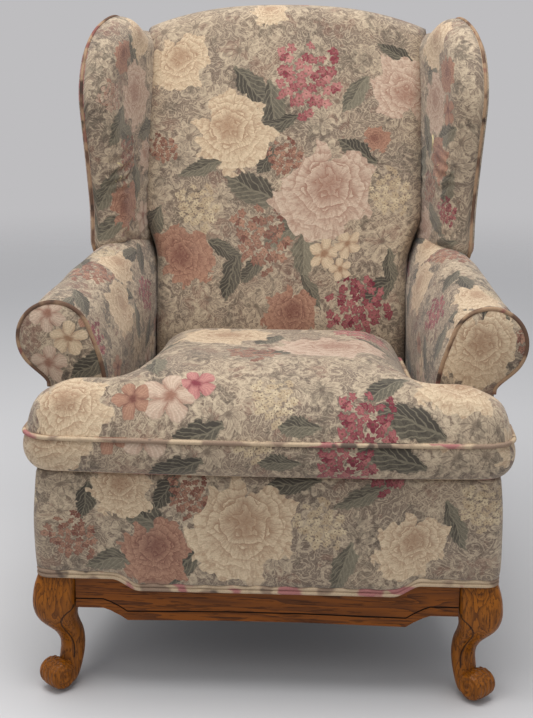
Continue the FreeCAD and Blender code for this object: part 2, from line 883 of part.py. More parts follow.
half_board = size["wing_board"] / 2
cover_in = size["cover_thick"]
pad_in = size["cover_thick"] + size["soft_gap"]
arm_board_top = arm_board_level + size["arm_board_thick"]
wing_bottom = size["arm_top_rear"] - size["wing_bottom_drop"]
wing_outer_line = wing_outline(wing_bottom, wing_bottom)
wing_inner_line = moved_run(wing_outer_line, cover_in, True)
wing_pad_line = moved_run(wing_outer_line, pad_in, True)
wing_heel_line = wing_outline(wing_bottom, arm_board_top)
wing_board_line = moved_run(wing_outline(wing_bottom, arm_board_top - pad_in), pad_in, True)

arm_envelope = arm_loft(envelope_section, arm_start, arm_finish + 20)


# Half outline of the inside back, from the deck to the crest, at one height
def back_half_run(margin):
    low = size["back_half_low"] + margin
    high = size["back_half_high"] + margin
    crest = size["crest_height"] + margin
    run = [
        (low, size["deck_top"]),
        (low, size["back_widen_low"]),
        (high, size["back_widen_high"]),
        (high, crest - size["crest_drop"]),
    ]
    for step in range(1, 8):
        share = 1 - step / 8
        run.append((high * share, crest - size["crest_drop"] * share ** 3.3))
    return run


def back_outline(margin):
    right = back_half_run(margin)
    left = [(-x, z) for x, z in reversed(right)]
    return right + [(0, size["crest_height"] + margin)] + left


def back_prism(margin):
    points = [vector(x, -600, z) for x, z in back_outline(margin)]
    return face_of(points).extrude(vector(0, 1200, 0))


back_clear = back_prism(size["soft_gap"])


def trimmed_wing(shape):
    return shape.cut([behind, back_clear, arm_envelope])


board_cut_level = Part.makeBox(1400, 1400, arm_board_top + 200, vector(-700, -700, -200))
wing_board_shape = wing_slab(wing_board_line, -half_board, half_board).cut(
    [behind, back_clear, board_cut_level])
wing_board_piece = soft_piece("wing_board_right", wing_board_shape)
keep_pair("wing_board", wing_board_piece)
inner_depth = half_board + size["wing_pad"]
wing_cover_outer = wing_slab(wing_outer_line, -inner_depth, half_board)
wing_cover_inner = wing_slab(wing_inner_line, -inner_depth + cover_in, half_board)
wing_cover_shape = trimmed_wing(wing_cover_outer.cut([wing_cover_inner, wing_board_shape]))
wing_pad_shape = trimmed_wing(wing_slab(wing_pad_line, -inner_depth + pad_in, -half_board))
wing_out_line = moved_run(wing_heel_line, size["cord_size"], True)
wing_out_shape = trimmed_wing(
    wing_slab(wing_out_line, half_board, half_board + size["panel_thick"]))
wing_cord_outer = wing_slab(wing_heel_line, half_board, half_board + size["panel_thick"] + 2)
wing_cord_inner = wing_slab(wing_out_line, half_board - 1, half_board + size["panel_thick"] + 3)
wing_cord_shape = trimmed_wing(wing_cord_outer.cut(wing_cord_inner))


# A trimmed shape can leave crumbs behind the cut, and only the largest solid is the piece
def largest(shape):
    return max(shape.Solids, key=lambda solid: solid.Volume)


keep_pair("inside_wing_cover", soft_piece("inside_wing_cover_right", largest(wing_cover_shape)))
keep_pair("wing_foam", soft_piece("wing_foam_right", largest(wing_pad_shape)))
keep_pair("wing_welt", soft_piece("wing_welt_right", largest(wing_cord_shape)))

# Outside wing panel with the strip that closes the side of the back post
strip_low = arm_board_level + size["panel_step"]
strip_high = size["crest_height"] - size["post_drop"]
strip_drop = size["post_depth"] * math.sin(rake)
strip_side = size["rear_half"]
strip = face_of([
    vector(strip_side, rear_plane(strip_low, 0), strip_low),
    vector(strip_side, rear_plane(strip_low, size["post_depth"]), strip_low),
    vector(strip_side, rear_plane(strip_high - strip_drop, size["post_depth"]),
           strip_high - strip_drop),
    vector(strip_side, rear_plane(strip_high, 0), strip_high),
]).extrude(vector(size["panel_thick"], 0, 0))
wing_panel = largest(wing_out_shape).fuse(strip).removeSplitter()
keep_pair("outside_wing_cover", soft_piece("outside_wing_cover_right", wing_panel))

# Arm padding and its cover, fitted round the boards
doc.recompute()
arm_frame_pieces = [behind, back_clear, wing_board_shape, stump.Shape, arm_board.Shape]
arm_cover_shape = arm_loft(cover_section, arm_start, arm_finish).cut(arm_frame_pieces)
arm_pad_shape = arm_loft(pad_section, face_board_y, arm_finish).cut(arm_frame_pieces)
keep_pair("inside_arm_cover", soft_piece("inside_arm_cover_right", largest(arm_cover_shape)))
keep_pair("arm_foam", soft_piece("arm_foam_right", largest(arm_pad_shape)))

# Outside arm panel, from the arm roll down to the double welt
panel_plan = [
    (rail_outside(arm_face_y), arm_face_y),
    (rail_outside(arm_face_y) + " + panel_thick", arm_face_y),
    ("rear_half + panel_thick", "back_line"),
    ("rear_half + panel_thick", "back_line + 300"),
    ("rear_half", "back_line + 300"),
    ("rear_half", "back_line"),
]
panel_blank = padded_body("outside_arm_blank", "XY_Plane", panel_plan, "0", "900")
panel_top_front = "arm_top_front - 2.15 * arm_roll_front - soft_gap"
panel_top_rear = arm_board_low + " + panel_step - soft_gap"
panel_rear_top = post_rear_face + " + (%s - rail_top) * tan(back_rake)" % panel_top_rear
panel_side = padded_body(
    "outside_arm_side", "YZ_Plane",
    [
        (arm_face_y, "border_side"),
        (post_rear_face, "border_side"),
        (post_rear_face, "rail_top"),
        (panel_rear_top, panel_top_rear),
        ("back_line", panel_top_rear),
        (arm_face_y, panel_top_front),
    ],
    "0", "600")
outside_arm = common("outside_arm_panel_right", panel_blank, panel_side)
keep_pair("outside_arm_panel", outside_arm)


# Inside back: a thick pad with an arched crest that folds over the crest rail
def back_profile(inset):
    lap_bottom = size["crest_height"] - size["crest_drop"] - 34
    crest = size["crest_height"] - inset
    front = size["back_front"] + inset
    crest_front = size["crest_front"] + inset
    rear = size["post_depth"] - inset
    return [
        (front, size["deck_top"]),
        (front + 2, size["lumbar_height"]),
        (crest_front, size["crest_height"] - 40),
        (crest_front + 10, size["crest_height"] - 14 - inset * 0.6),
        (crest_front + 34, crest),
        (rear_plane(crest, rear), crest),
        (rear_plane(lap_bottom, rear), lap_bottom),
        (rear_plane(lap_bottom, 0), lap_bottom),
        (rear_plane(size["deck_top"], 0), size["deck_top"]),
    ]


def back_solid(inset):
    points = [vector(-500, y, z) for y, z in back_profile(inset)]
    return face_of(points).extrude(vector(1000, 0, 0)).common(back_prism(-inset))


back_frame_pieces = [
    crest_rail.Shape, lower_rail.Shape, back_post.Shape,
    doc.getObject("back_post_left").Shape,
]
inside_back_shape = back_solid(0).cut([back_solid(cover_in)] + back_frame_pieces)
back_foam_shape = back_solid(pad_in).cut(back_frame_pieces)
keep("inside_back_cover", soft_piece("inside_back_cover", largest(inside_back_shape)))
keep("back_foam", soft_piece("back_foam", largest(back_foam_shape)))

# Outside back panel and the cord round its edge
outside_half = size["rear_half"] + size["panel_thick"]
outside_shoulder = size["crest_height"] - size["post_drop"] - 8


def outside_outline(inset):
    right = [
        (outside_half - inset, size["border_side"]),
        (outside_half - inset, outside_shoulder - inset),
    ]
    for step in range(1, 8):
        share = 1 - step / 8
        rise = (size["crest_height"] - 6 - outside_shoulder) * (1 - share ** 2.6)
        right.append(((outside_half - inset) * share, outside_shoulder + rise - inset))
    left = [(-x, z) for x, z in reversed(right)]
    return right + [(0, size["crest_height"] - 6 - inset)] + left


def outside_slab(low, high, inset):
    top = size["crest_height"]
    profile = [
        (rear_plane(size["rail_top"], low), size["border_side"]),
        (rear_plane(size["rail_top"], low), size["rail_top"]),
        (rear_plane(top, low), top),
        (rear_plane(top, high), top),
        (rear_plane(size["rail_top"], high), size["rail_top"]),
        (rear_plane(size["rail_top"], high), size["border_side"]),
    ]
    side = face_of([vector(-500, y, z) for y, z in profile]).extrude(vector(1000, 0, 0))
    front = face_of([vector(x, -600, z) for x, z in outside_outline(inset)])
    return side.common(front.extrude(vector(0, 1200, 0)))


panel_deep = size["post_depth"] + size["panel_thick"]
outside_back = outside_slab(size["post_depth"], panel_deep, size["cord_size"])
outside_cord = outside_slab(size["post_depth"], panel_deep + 1, 0).cut(
    outside_slab(size["post_depth"] - 1, panel_deep + 2, size["cord_size"]))
keep("outside_back_cover", soft_piece("outside_back_cover", largest(outside_back)))
keep("outside_back_welt", soft_piece("outside_back_welt", largest(outside_cord)))


# Loose cushion: a T outline with ears in front of the arms, boxed sides and a crowned top
def cushion_outline(inset, crown=0):
    around = inset + crown
    ear_rear = -(size["ear_back"] + inset + crown / 4)
    ear_front = -(size["cushion_front"] - size["ear_round"] - inset - crown * 0.75)
    right = [
        (size["ear_half"] - around, ear_front),
        (size["ear_half"] - around, ear_rear),
        (size["stem_front_half"] - around, ear_rear),
        (size["stem_rear_half"] - around, size["cushion_back"] - around),
    ]
    left = [(-x, y) for x, y in reversed(right)]
    front = -(size["cushion_front"] - around)
    return right + left + [(-size["front_flat"], front), (size["front_flat"], front)]


cushion_low = size["deck_top"] + size["rest_gap"]


def cushion_level(inset, height, crown=0):
    return [vector(x, y, cushion_low + height) for x, y in cushion_outline(inset, crown)]


def cushion_solid(inset):
    top = size["boxing_height"]
    return loft_of([
        cushion_level(inset, inset),
        cushion_level(inset, top - inset * 0.4),
        cushion_level(inset, top + size["crown_rise"] - inset, size["crown_inset"]),
        cushion_level(inset, top + size["crown_peak"] - inset, size["crown_peak_inset"]),
    ])


channel_z = cushion_low + size["boxing_height"] / 2
channel = Part.makeBox(
    size["zipper_half"] * 2, size["zipper_depth"] + 1, size["zipper_channel"],
    vector(
        -size["zipper_half"], size["cushion_back"] - size["zipper_depth"],
        channel_z - size["zipper_channel"] / 2))
cushion_cover_shape = cushion_solid(0).cut([cushion_solid(cover_in), channel])
keep("cushion_cover", soft_piece("cushion_cover", cushion_cover_shape))
keep("cushion_foam", soft_piece("cushion_foam", cushion_solid(pad_in)))


def cushion_cord(height):
    outer = face_of([vector(x, y, height) for x, y in cushion_outline(-size["cord_size"])])
    inner = face_of([vector(x, y, height) for x, y in cushion_outline(0)])
    return outer.cut(inner).extrude(vector(0, 0, size["cord_size"]))


top_cord_low = cushion_low + size["boxing_height"] - size["cord_size"]
keep("cushion_top_welt", soft_piece("cushion_top_welt", cushion_cord(top_cord_low)))
keep("cushion_bottom_welt", soft_piece("cushion_bottom_welt", cushion_cord(cushion_low + 1)))

# Zipper in the rear boxing, sunk in a channel, with its slider
tape_y = size["cushion_back"] - size["zipper_depth"]
tape_height = size["zipper_channel"] - 1
zipper_tape = Part.makeBox(
    size["zipper_half"] * 2 - 2, size["tape_thick"], tape_height,
    vector(-size["zipper_half"] + 1, tape_y, channel_z - tape_height / 2))
keep("zipper_tape", soft_piece("zipper_tape", zipper_tape))
slider_y = tape_y + size["tape_thick"] + size["rest_gap"]
slider_body = Part.makeBox(
    size["slider_length"], size["slider_thick"], size["slider_height"],
    vector(-size["slider_length"] / 2, slider_y, channel_z - size["slider_height"] / 2))
keep("zipper_slider", soft_piece("zipper_slider", slider_body))

# Every object must be sound before any file is written
doc.recompute()
for item in doc.Objects:
    if "Invalid" in item.State or "Error" in item.State:
        raise RuntimeError("failed object: " + item.Name)
for name, thing in nodes.items():
    if thing.Shape.isNull() or not thing.Shape.isValid():
        raise RuntimeError("unsound shape: " + name)
    if not thing.Shape.Solids:
        raise RuntimeError("no solid in: " + name)

os.makedirs("parts", exist_ok=True)
for name, thing in nodes.items():
    thing.Shape.exportStep("parts/%s.step" % name)
print("%d parts written" % len(nodes))
whole = Part.makeCompound([thing.Shape for thing in nodes.values()]).BoundBox
print("width %.1f depth %.1f..%.1f height %.1f..%.1f" % (
    whole.XLength, whole.YMin, whole.YMax, whole.ZMin, whole.ZMax))
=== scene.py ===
import math

import bmesh
import bpy
import numpy as np
from mathutils import Matrix, Vector, noise


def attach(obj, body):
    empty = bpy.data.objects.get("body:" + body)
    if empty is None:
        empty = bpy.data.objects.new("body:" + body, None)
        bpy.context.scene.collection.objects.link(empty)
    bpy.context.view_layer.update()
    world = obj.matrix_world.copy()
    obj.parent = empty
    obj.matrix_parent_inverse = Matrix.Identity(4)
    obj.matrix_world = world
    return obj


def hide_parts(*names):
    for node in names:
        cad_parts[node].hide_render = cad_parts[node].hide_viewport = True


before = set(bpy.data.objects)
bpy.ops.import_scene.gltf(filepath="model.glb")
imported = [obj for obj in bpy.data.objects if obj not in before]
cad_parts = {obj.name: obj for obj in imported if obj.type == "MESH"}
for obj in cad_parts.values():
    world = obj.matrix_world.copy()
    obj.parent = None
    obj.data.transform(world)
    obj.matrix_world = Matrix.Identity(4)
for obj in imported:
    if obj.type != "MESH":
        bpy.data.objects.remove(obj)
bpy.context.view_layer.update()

body = "chair"
cushionBody = "seat_cushion"
print("frame loaded", len(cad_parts), "nodes")


# Shared measures in metres, the same as the frame's own
chair = {
    "frontHalf": 0.354,
    "rearHalf": 0.285,
    "backLine": 0.175,
    "postFront": -0.333,
    "railTop": 0.300,
    "rake": math.radians(14),
    "splay": math.radians(14),
    "deckTop": 0.376,
    "crest": 1.070,
    "hem": 0.213,
    "railFace": -0.3836,
    "lineHalf": 0.0011,
    "lineTop": 0.172,
}
tanRake = math.tan(chair["rake"])
cosRake = math.cos(chair["rake"])
sides = ((-1, "left"), (1, "right"))


def tone(red, green, blue):
    # display colour 0 to 255 into the linear value that shader sockets take
    linear = []
    for part in (red, green, blue):
        share = part / 255
        linear.append(share / 12.92 if share <= 0.04045 else ((share + 0.055) / 1.055) ** 2.4)
    return (*linear, 1.0)


# Node building
class Tree:
    # adds nodes, and wires numbers or sockets into them
    def __init__(self, nodeTree):
        self.nodes = nodeTree.nodes
        self.links = nodeTree.links

    def wire(self, socket, value):
        if isinstance(value, bpy.types.NodeSocket):
            self.links.new(value, socket)
        elif value is not None:
            socket.default_value = value

    def fill(self, node, inputs):
        for key, value in inputs.items():
            self.wire(node.inputs[key], value)

    def add(self, kind, inputs=None, **settings):
        node = self.nodes.new(kind)
        for name, value in settings.items():
            setattr(node, name, value)
        self.fill(node, inputs or {})
        return node

    def math(self, operation, first, second=None, third=None, clamp=False):
        return self.add("ShaderNodeMath", {0: first, 1: second, 2: third},
                        operation=operation, use_clamp=clamp).outputs[0]

    def times(self, first, second):
        return self.math("MULTIPLY", first, second)

    def plus(self, first, second):
        return self.math("ADD", first, second)

    def minus(self, first, second):
        return self.math("SUBTRACT", first, second)

    def rest(self, share):
        return self.math("SUBTRACT", 1.0, share)

    def timesPlus(self, first, second, third, clamp=False):
        return self.math("MULTIPLY_ADD", first, second, third, clamp)

    def size(self, value):
        return self.math("ABSOLUTE", value)

    def below(self, value, limit):
        return self.math("LESS_THAN", value, limit)

    def above(self, value, limit):
        return self.math("GREATER_THAN", value, limit)

    def sine(self, turn):
        return self.math("SINE", turn)

    def cosine(self, turn):
        return self.math("COSINE", turn)

    def angle(self, x, y):
        return self.math("ARCTAN2", y, x)

    def vector(self, operation, first, second=None, third=None):
        return self.add("ShaderNodeVectorMath", {0: first, 1: second, 2: third},
                        operation=operation).outputs[0]

    def shifted(self, bend, amount, place):
        return self.vector("MULTIPLY_ADD", bend, amount, place)

    def length(self, value):
        node = self.add("ShaderNodeVectorMath", {0: value}, operation="LENGTH")
        return node.outputs["Value"]

    def mix(self, share, first, second, kind="RGBA", blend="MIX"):
        start, end, result = {"FLOAT": (2, 3, 0), "VECTOR": (4, 5, 1), "RGBA": (6, 7, 2)}[kind]
        return self.add("ShaderNodeMix", {0: share, start: first, end: second},
                        data_type=kind, blend_type=blend).outputs[result]

    def faded(self, field, share, amount, colour):
        # lays one colour over a field, by a share of a mask
        return self.mix(self.times(share, amount), field, colour)

    def noise(self, place, scale, detail=2.0, rough=0.5, flat=True):
        node = self.add(
            "ShaderNodeTexNoise",
            {"Vector": place, "Scale": scale, "Detail": detail, "Roughness": rough},
            noise_dimensions="2D" if flat else "3D")
        return node.outputs[0], node.outputs[1]

    def cells(self, place, scale, randomness=1.0):
        return self.add(
            "ShaderNodeTexVoronoi", {"Vector": place, "Scale": scale, "Randomness": randomness},
            voronoi_dimensions="2D", feature="F1").outputs

    def step(self, value, low, high):
        return self.add("ShaderNodeMapRange", {"Value": value, "From Min": low, "From Max": high},
                        interpolation_type="SMOOTHSTEP").outputs[0]

    def fall(self, value, low, high):
        return self.rest(self.step(value, low, high))

    def split(self, value):
        return self.add("ShaderNodeSeparateXYZ", {0: value}).outputs

    def objectPlace(self):
        return self.add("ShaderNodeTexCoord").outputs["Object"]


def newMaterial(name):
    material = bpy.data.materials.new(name)
    material.use_nodes = True
    return material, Tree(material.node_tree), material.node_tree.nodes["Principled BSDF"]


def addBump(tree, shader, height, distance, strength):
    bump = tree.add(
        "ShaderNodeBump", {"Strength": strength, "Distance": distance, "Height": height})
    tree.wire(shader.inputs["Normal"], bump.outputs[0])


# Printed upholstery cloth: roses, clusters and leaves over scrollwork on a taupe ground.
# Its inks are display colours, each family with its shaded partner
cloth = {
    "ground": (132, 116, 101), "groundWarm": (153, 134, 114),
    "lightLine": (200, 181, 154), "darkLine": (92, 77, 67),
    "cream": (214, 193, 162), "creamDark": (152, 118, 92),
    "peach": (204, 182, 160), "peachDark": (146, 106, 88),
    "rose": (196, 140, 130), "roseDark": (128, 58, 66),
    "crimson": (176, 112, 108), "crimsonDark": (112, 44, 56),
    "rust": (176, 136, 112), "rustDark": (112, 70, 60),
    "leaf": (128, 120, 102), "leafDark": (72, 66, 58),
    "bloom": (208, 190, 158), "bloomDark": (168, 146, 118),
}
shapeNames = {"rose": 0.0, "cluster": 1.0, "daisy": 2.0}
weave = {"warp": 0.0013, "weft": 0.0015, "lattice": 0.0085, "drift": 0.012, "bend": 0.016}


def chooseSite(tree, place, sites, tile, readSite):
    # keeps, for each point, the nearest site's own coordinates and its values
    best = None
    for site in sites:
        u, v, across, along, turn = site[:5]
        low = (u - tile[0] / 2, v - tile[1] / 2, 0.0)
        high = (u + tile[0] / 2, v + tile[1] / 2, 0.0)
        wrapped = tree.vector("WRAP", place, high, low)
        local = tree.add(
            "ShaderNodeMapping",
            {"Vector": wrapped, "Location": (u, v, 0.0), "Scale": (across, along, 1.0),
             "Rotation": (0.0, 0.0, math.radians(turn))},
            vector_type="TEXTURE").outputs[0]
        far = tree.length(local)
        values = readSite(site)
        if best is None:
            best = [local, far, list(values)]
            continue
        nearer = tree.below(far, best[1])
        best[0] = tree.mix(nearer, best[0], local, "VECTOR")
        best[1] = tree.math("MINIMUM", far, best[1])
        best[2] = [
            tree.mix(nearer, old, new, "FLOAT" if isinstance(new, float) else "RGBA")
            for old, new in zip(best[2], values)
        ]
    return best


def petals(tree, local, light, dark):
    # a cabbage rose: rings of scalloped petals round an off-centre heart
    x, y, _ = tree.split(local)
    wobble, _ = tree.noise(local, 2.6, 2.0)
    heart = tree.vector("ADD", local, (-0.08, -0.2, 0.0))
    heartX, heartY, _ = tree.split(heart)
    angle = tree.angle(heartX, heartY)
    far = tree.length(heart)
    ring = tree.math("FLOOR", tree.times(far, 4.6))
    scallop = tree.size(tree.sine(tree.plus(tree.times(angle, 2.5), tree.times(ring, 2.1))))
    depth = tree.timesPlus(far, 4.6, tree.times(scallop, 0.55))
    depth = tree.timesPlus(wobble, 1.5, depth)
    lip = tree.math("FRACT", depth)
    body = tree.mix(tree.math("POWER", lip, 0.5), dark, light)
    body = tree.faded(body, tree.fall(far, 0.05, 0.5), 0.6, dark)
    body = tree.faded(body, tree.step(far, 0.35, 0.9), 0.5, light)
    polar = tree.add("ShaderNodeCombineXYZ", {0: tree.times(angle, 9.0), 1: tree.times(far, 3.0)})
    stroke, _ = tree.noise(polar.outputs[0], 1.6, 2.0, 0.6)
    body = tree.faded(body, tree.step(stroke, 0.45, 0.68), 0.42, dark)
    grain, _ = tree.noise(local, 15.0, 3.0, 0.7)
    body = tree.faded(body, tree.step(grain, 0.45, 0.75), 0.3, dark)
    rimAngle = tree.angle(x, y)
    lobes = tree.timesPlus(wobble, 5.0, tree.times(rimAngle, 5.5))
    rim = tree.size(tree.sine(lobes))
    rim = tree.timesPlus(rim, 0.09, tree.timesPlus(wobble, 0.9, 0.40))
    return body, rim


def cluster(tree, local, light, dark):
    # many small florets, each with a dark eye, and gaps between them
    cell = tree.cells(local, 4.4, 0.95)
    spot = tree.vector("SUBTRACT", local, cell["Position"])
    red, green, blue = tree.split(cell["Color"])
    x, y, _ = tree.split(spot)
    angle = tree.angle(x, y)
    turned = tree.timesPlus(angle, 2.5, tree.times(green, 6.0))
    lobes = tree.size(tree.cosine(turned))
    reach = tree.timesPlus(lobes, 0.062, 0.07)
    inside = tree.math("DIVIDE", tree.length(spot), reach)
    shade = tree.timesPlus(tree.step(inside, 0.2, 1.0), 0.35, red, clamp=True)
    body = tree.mix(shade, light, dark)
    smudge, _ = tree.noise(local, 9.0, 3.0, 0.7)
    body = tree.faded(body, tree.step(smudge, 0.45, 0.7), 0.4, light)
    body = tree.faded(body, tree.fall(inside, 0.12, 0.3), 0.8, tone(96, 74, 58))
    cover = tree.fall(inside, 0.92, 1.15)
    far = tree.length(cell["Position"])
    keep = tree.below(far, tree.timesPlus(blue, 0.4, 0.62))
    return body, tree.times(cover, keep)


def daisy(tree, local, light, dark):
    # five blunt petals with fine streaks and a dark eye
    x, y, _ = tree.split(local)
    angle = tree.angle(x, y)
    lobe = tree.size(tree.cosine(tree.times(angle, 2.5)))
    reach = tree.timesPlus(tree.math("POWER", lobe, 0.6), 0.5, 0.42)
    inside = tree.math("DIVIDE", tree.length(local), reach)
    fine = tree.size(tree.sine(tree.times(angle, 17.0)))
    body = tree.mix(tree.math("POWER", lobe, 0.5), dark, light)
    body = tree.faded(body, fine, 0.3, dark)
    body = tree.mix(tree.fall(inside, 0.1, 0.4), body, dark)
    return body, tree.fall(inside, 0.94, 1.03)


def leafShape(tree, local, depthShade):
    # saw-edged leaf, one half darker than the other, with thin pale veins
    x, y, _ = tree.split(local)
    half = tree.size(y)
    bulk = tree.plus(tree.times(x, x), half)
    saw = tree.math("PINGPONG", tree.times(x, 6.0), 0.5)
    grain, _ = tree.noise(local, 3.6, 3.0, 0.7)
    bulk = tree.timesPlus(saw, 0.2, tree.timesPlus(grain, 0.55, bulk))
    vein = tree.math("PINGPONG", tree.timesPlus(half, 0.8, x), 0.11)
    veins = tree.fall(vein, 0.008, 0.04)
    rib = tree.fall(half, 0.02, 0.07)
    shade = tree.timesPlus(grain, 1.5, tree.minus(depthShade, 0.95))
    shade = tree.timesPlus(tree.step(y, -0.1, 0.12), 0.42, shade, clamp=True)
    body = tree.mix(shade, tone(*cloth["leaf"]), tone(*cloth["leafDark"]))
    body = tree.faded(body, tree.math("MAXIMUM", veins, rib), 0.38, tone(160, 150, 126))
    return body, tree.fall(bulk, 1.02, 1.18)


def inked(tree, field, mask, weight, colour):
    # draws with one of the cloth's own inks
    return tree.faded(field, mask, weight, tone(*cloth[colour]))


def ghostDaisies(tree, place, field, scale, lobes):
    # pale drawn flowers that sit in the ground, one to most cells
    cell = tree.cells(place, scale)
    spot = tree.vector("SUBTRACT", place, cell["Position"])
    x, y, _ = tree.split(spot)
    red, green, _ = tree.split(cell["Color"])
    angle = tree.angle(x, y)
    away = tree.times(tree.length(spot), scale)
    petal = tree.size(tree.cosine(tree.timesPlus(angle, lobes / 2, red)))
    reach = tree.timesPlus(petal, 0.17, tree.timesPlus(red, 0.14, 0.2))
    inside = tree.math("DIVIDE", away, reach)
    keep = tree.above(green, 0.3)
    body = tree.times(tree.fall(inside, 0.9, 1.02), keep)
    edge = tree.fall(tree.size(tree.minus(inside, 1.0)), 0.04, 0.16)
    gap = tree.times(body, tree.fall(petal, 0.06, 0.4))
    heart = tree.times(body, tree.fall(inside, 0.12, 0.3))
    field = inked(tree, field, body, 0.3, "lightLine")
    field = inked(tree, field, tree.times(edge, keep), 0.6, "lightLine")
    field = inked(tree, field, gap, 0.6, "darkLine")
    return inked(tree, field, heart, 0.6, "darkLine")


def ghostScrolls(tree, place, field, scale):
    # spiral curls, light with a dark side
    cell = tree.cells(place, scale)
    spot = tree.vector("SUBTRACT", place, cell["Position"])
    x, y, _ = tree.split(spot)
    red, _, _ = tree.split(cell["Color"])
    away = tree.times(tree.length(spot), scale)
    turn = tree.plus(tree.times(away, 15.0), tree.angle(x, y))
    wave = tree.sine(turn)
    near = tree.fall(away, 0.34, 0.52)
    near = tree.times(near, tree.above(red, 0.35))
    light = tree.times(near, tree.step(wave, 0.45, 0.8))
    dark = tree.times(near, tree.fall(wave, -0.9, -0.5))
    field = inked(tree, field, light, 0.45, "lightLine")
    return inked(tree, field, dark, 0.4, "darkLine")


def scrollGround(tree, place, dense):
    # taupe field with engraved line-work, a lattice, ghost daisies and scrolls
    soft, _ = tree.noise(place, 9.0, 3.0)
    warm = tree.step(soft, 0.32, 0.68)
    field = tree.mix(warm, tone(*cloth["ground"]), tone(*cloth["groundWarm"]))
    _, bend = tree.noise(place, 24.0, 1.0)
    bent = tree.shifted(bend, (weave["bend"], weave["bend"], 0.0), place)
    for scale, turns, light, dark in ((31.0, 8.0, 0.52, 0.34), (78.0, 5.0, 0.38, 0.34)):
        value, _ = tree.noise(bent, scale, 1.5, 0.55)
        phase = tree.math("FRACT", tree.times(value, turns))
        lightSide = tree.size(tree.minus(phase, 0.35))
        darkSide = tree.size(tree.minus(phase, 0.62))
        field = inked(tree, field, tree.fall(lightSide, 0.05, 0.19), light, "lightLine")
        field = inked(tree, field, tree.fall(darkSide, 0.03, 0.14), dark, "darkLine")
    x, y, _ = tree.split(bent)
    uphill = tree.math("PINGPONG", tree.plus(x, y), weave["lattice"])
    downhill = tree.math("PINGPONG", tree.minus(x, y), weave["lattice"])
    lattice = tree.fall(tree.math("MINIMUM", uphill, downhill), 0.0004, 0.0016)
    patch = tree.step(soft, 0.55, 0.6)
    field = inked(tree, field, tree.times(lattice, patch), 0.5, "lightLine")
    field = ghostScrolls(tree, bent, field, 23.0)
    field = ghostDaisies(tree, bent, field, 15.0, 9)
    # half-hidden foliage and florets, shaded with short strokes
    clump, turn = tree.noise(bent, 15.0, 3.0, 0.65)
    strokes, _ = tree.noise(tree.shifted(turn, (0.02, 0.02, 0.0), bent), 95.0, 2.0, 0.6)
    strokes = tree.step(strokes, 0.36, 0.56)
    foliage = tree.times(tree.step(clump, 0.54, 0.60), strokes)
    florets = tree.fall(clump, 0.36, 0.42)
    field = inked(tree, field, foliage, dense, "leafDark")
    return inked(tree, field, tree.times(florets, strokes), dense * 0.9, "rustDark")


def clothSurface(tree, shader, place, colour):
    # woven speckle, thread bump and a dusty sheen that every printed piece shares
    fleck, _ = tree.noise(place, 420.0, 3.0, 0.8)
    streak = tree.vector("MULTIPLY", place, (160.0, 900.0, 1.0))
    slub, _ = tree.noise(streak, 1.0, 2.0, 0.7)
    shade = tree.timesPlus(tree.plus(fleck, slub), 0.55, 0.42)
    colour = tree.mix(1.0, colour, shade, blend="MULTIPLY")
    wear, _ = tree.noise(place, 3.1, 4.0, 0.6)
    colour = tree.faded(colour, tree.step(wear, 0.5, 0.8), 0.12, tone(176, 164, 148))
    tree.fill(shader, {"Base Color": colour, "Roughness": 0.88, "Sheen Weight": 0.18,
                       "Sheen Roughness": 0.5, "Specular IOR Level": 0.22})
    x, y, _ = tree.split(place)
    warp = tree.sine(tree.times(x, 2 * math.pi / weave["warp"]))
    weft = tree.sine(tree.times(y, 2 * math.pi / weave["weft"]))
    relief = tree.timesPlus(tree.times(warp, weft), 0.35, slub)
    addBump(tree, shader, relief, 0.0006, 0.5)


def printedBlooms(rows):
    # rows of across, along, radius (mm), turn (degrees), kind and colour family
    return [(u / 1000, v / 1000, radius / 1000, radius / 1000, turn, kind, family)
            for u, v, radius, turn, kind, family in rows]


def printedLeaves(rows):
    # rows of across, along, length, width (mm), turn (degrees) and shade
    return [(u / 1000, v / 1000, length / 1000, width / 1000, turn, shade)
            for u, v, length, width, turn, shade in rows]


def printedCloth(name, blossoms, leaves, tile, dense=0.4):
    material, tree, shader = newMaterial(name)
    uv = tree.add("ShaderNodeUVMap", uv_map="cloth").outputs[0]
    _, drift = tree.noise(uv, 42.0, 2.0)
    drift = tree.vector("SUBTRACT", drift, (0.5, 0.5, 0.5))
    place = tree.shifted(drift, (weave["drift"], weave["drift"], 0.0), uv)
    colour = scrollGround(tree, uv, dense)
    local, _, (shade,) = chooseSite(
        tree, place, printedLeaves(leaves), tile, lambda site: (float(site[5]),))
    leafTone, leafMask = leafShape(tree, local, shade)
    colour = tree.mix(leafMask, colour, leafTone)

    def readBlossom(site):
        kind, family = site[5], site[6]
        return (shapeNames[kind], tone(*cloth[family]), tone(*cloth[family + "Dark"]))

    local, far, (kind, light, dark) = chooseSite(
        tree, place, printedBlooms(blossoms), tile, readBlossom)
    roseTone, rim = petals(tree, local, light, dark)
    roseMask = tree.fall(tree.minus(far, rim), -0.02, 0.02)
    clusterTone, clusterMask = cluster(tree, local, light, dark)
    daisyTone, daisyMask = daisy(tree, local, light, dark)
    isCluster = tree.above(kind, 0.5)
    isDaisy = tree.above(kind, 1.5)
    bloomTone = tree.mix(isDaisy, tree.mix(isCluster, roseTone, clusterTone), daisyTone)
    mask = tree.mix(isCluster, roseMask, clusterMask, "FLOAT")
    mask = tree.mix(isDaisy, mask, daisyMask, "FLOAT")
    colour = tree.mix(mask, colour, bloomTone)
    clothSurface(tree, shader, uv, colour)
    return material


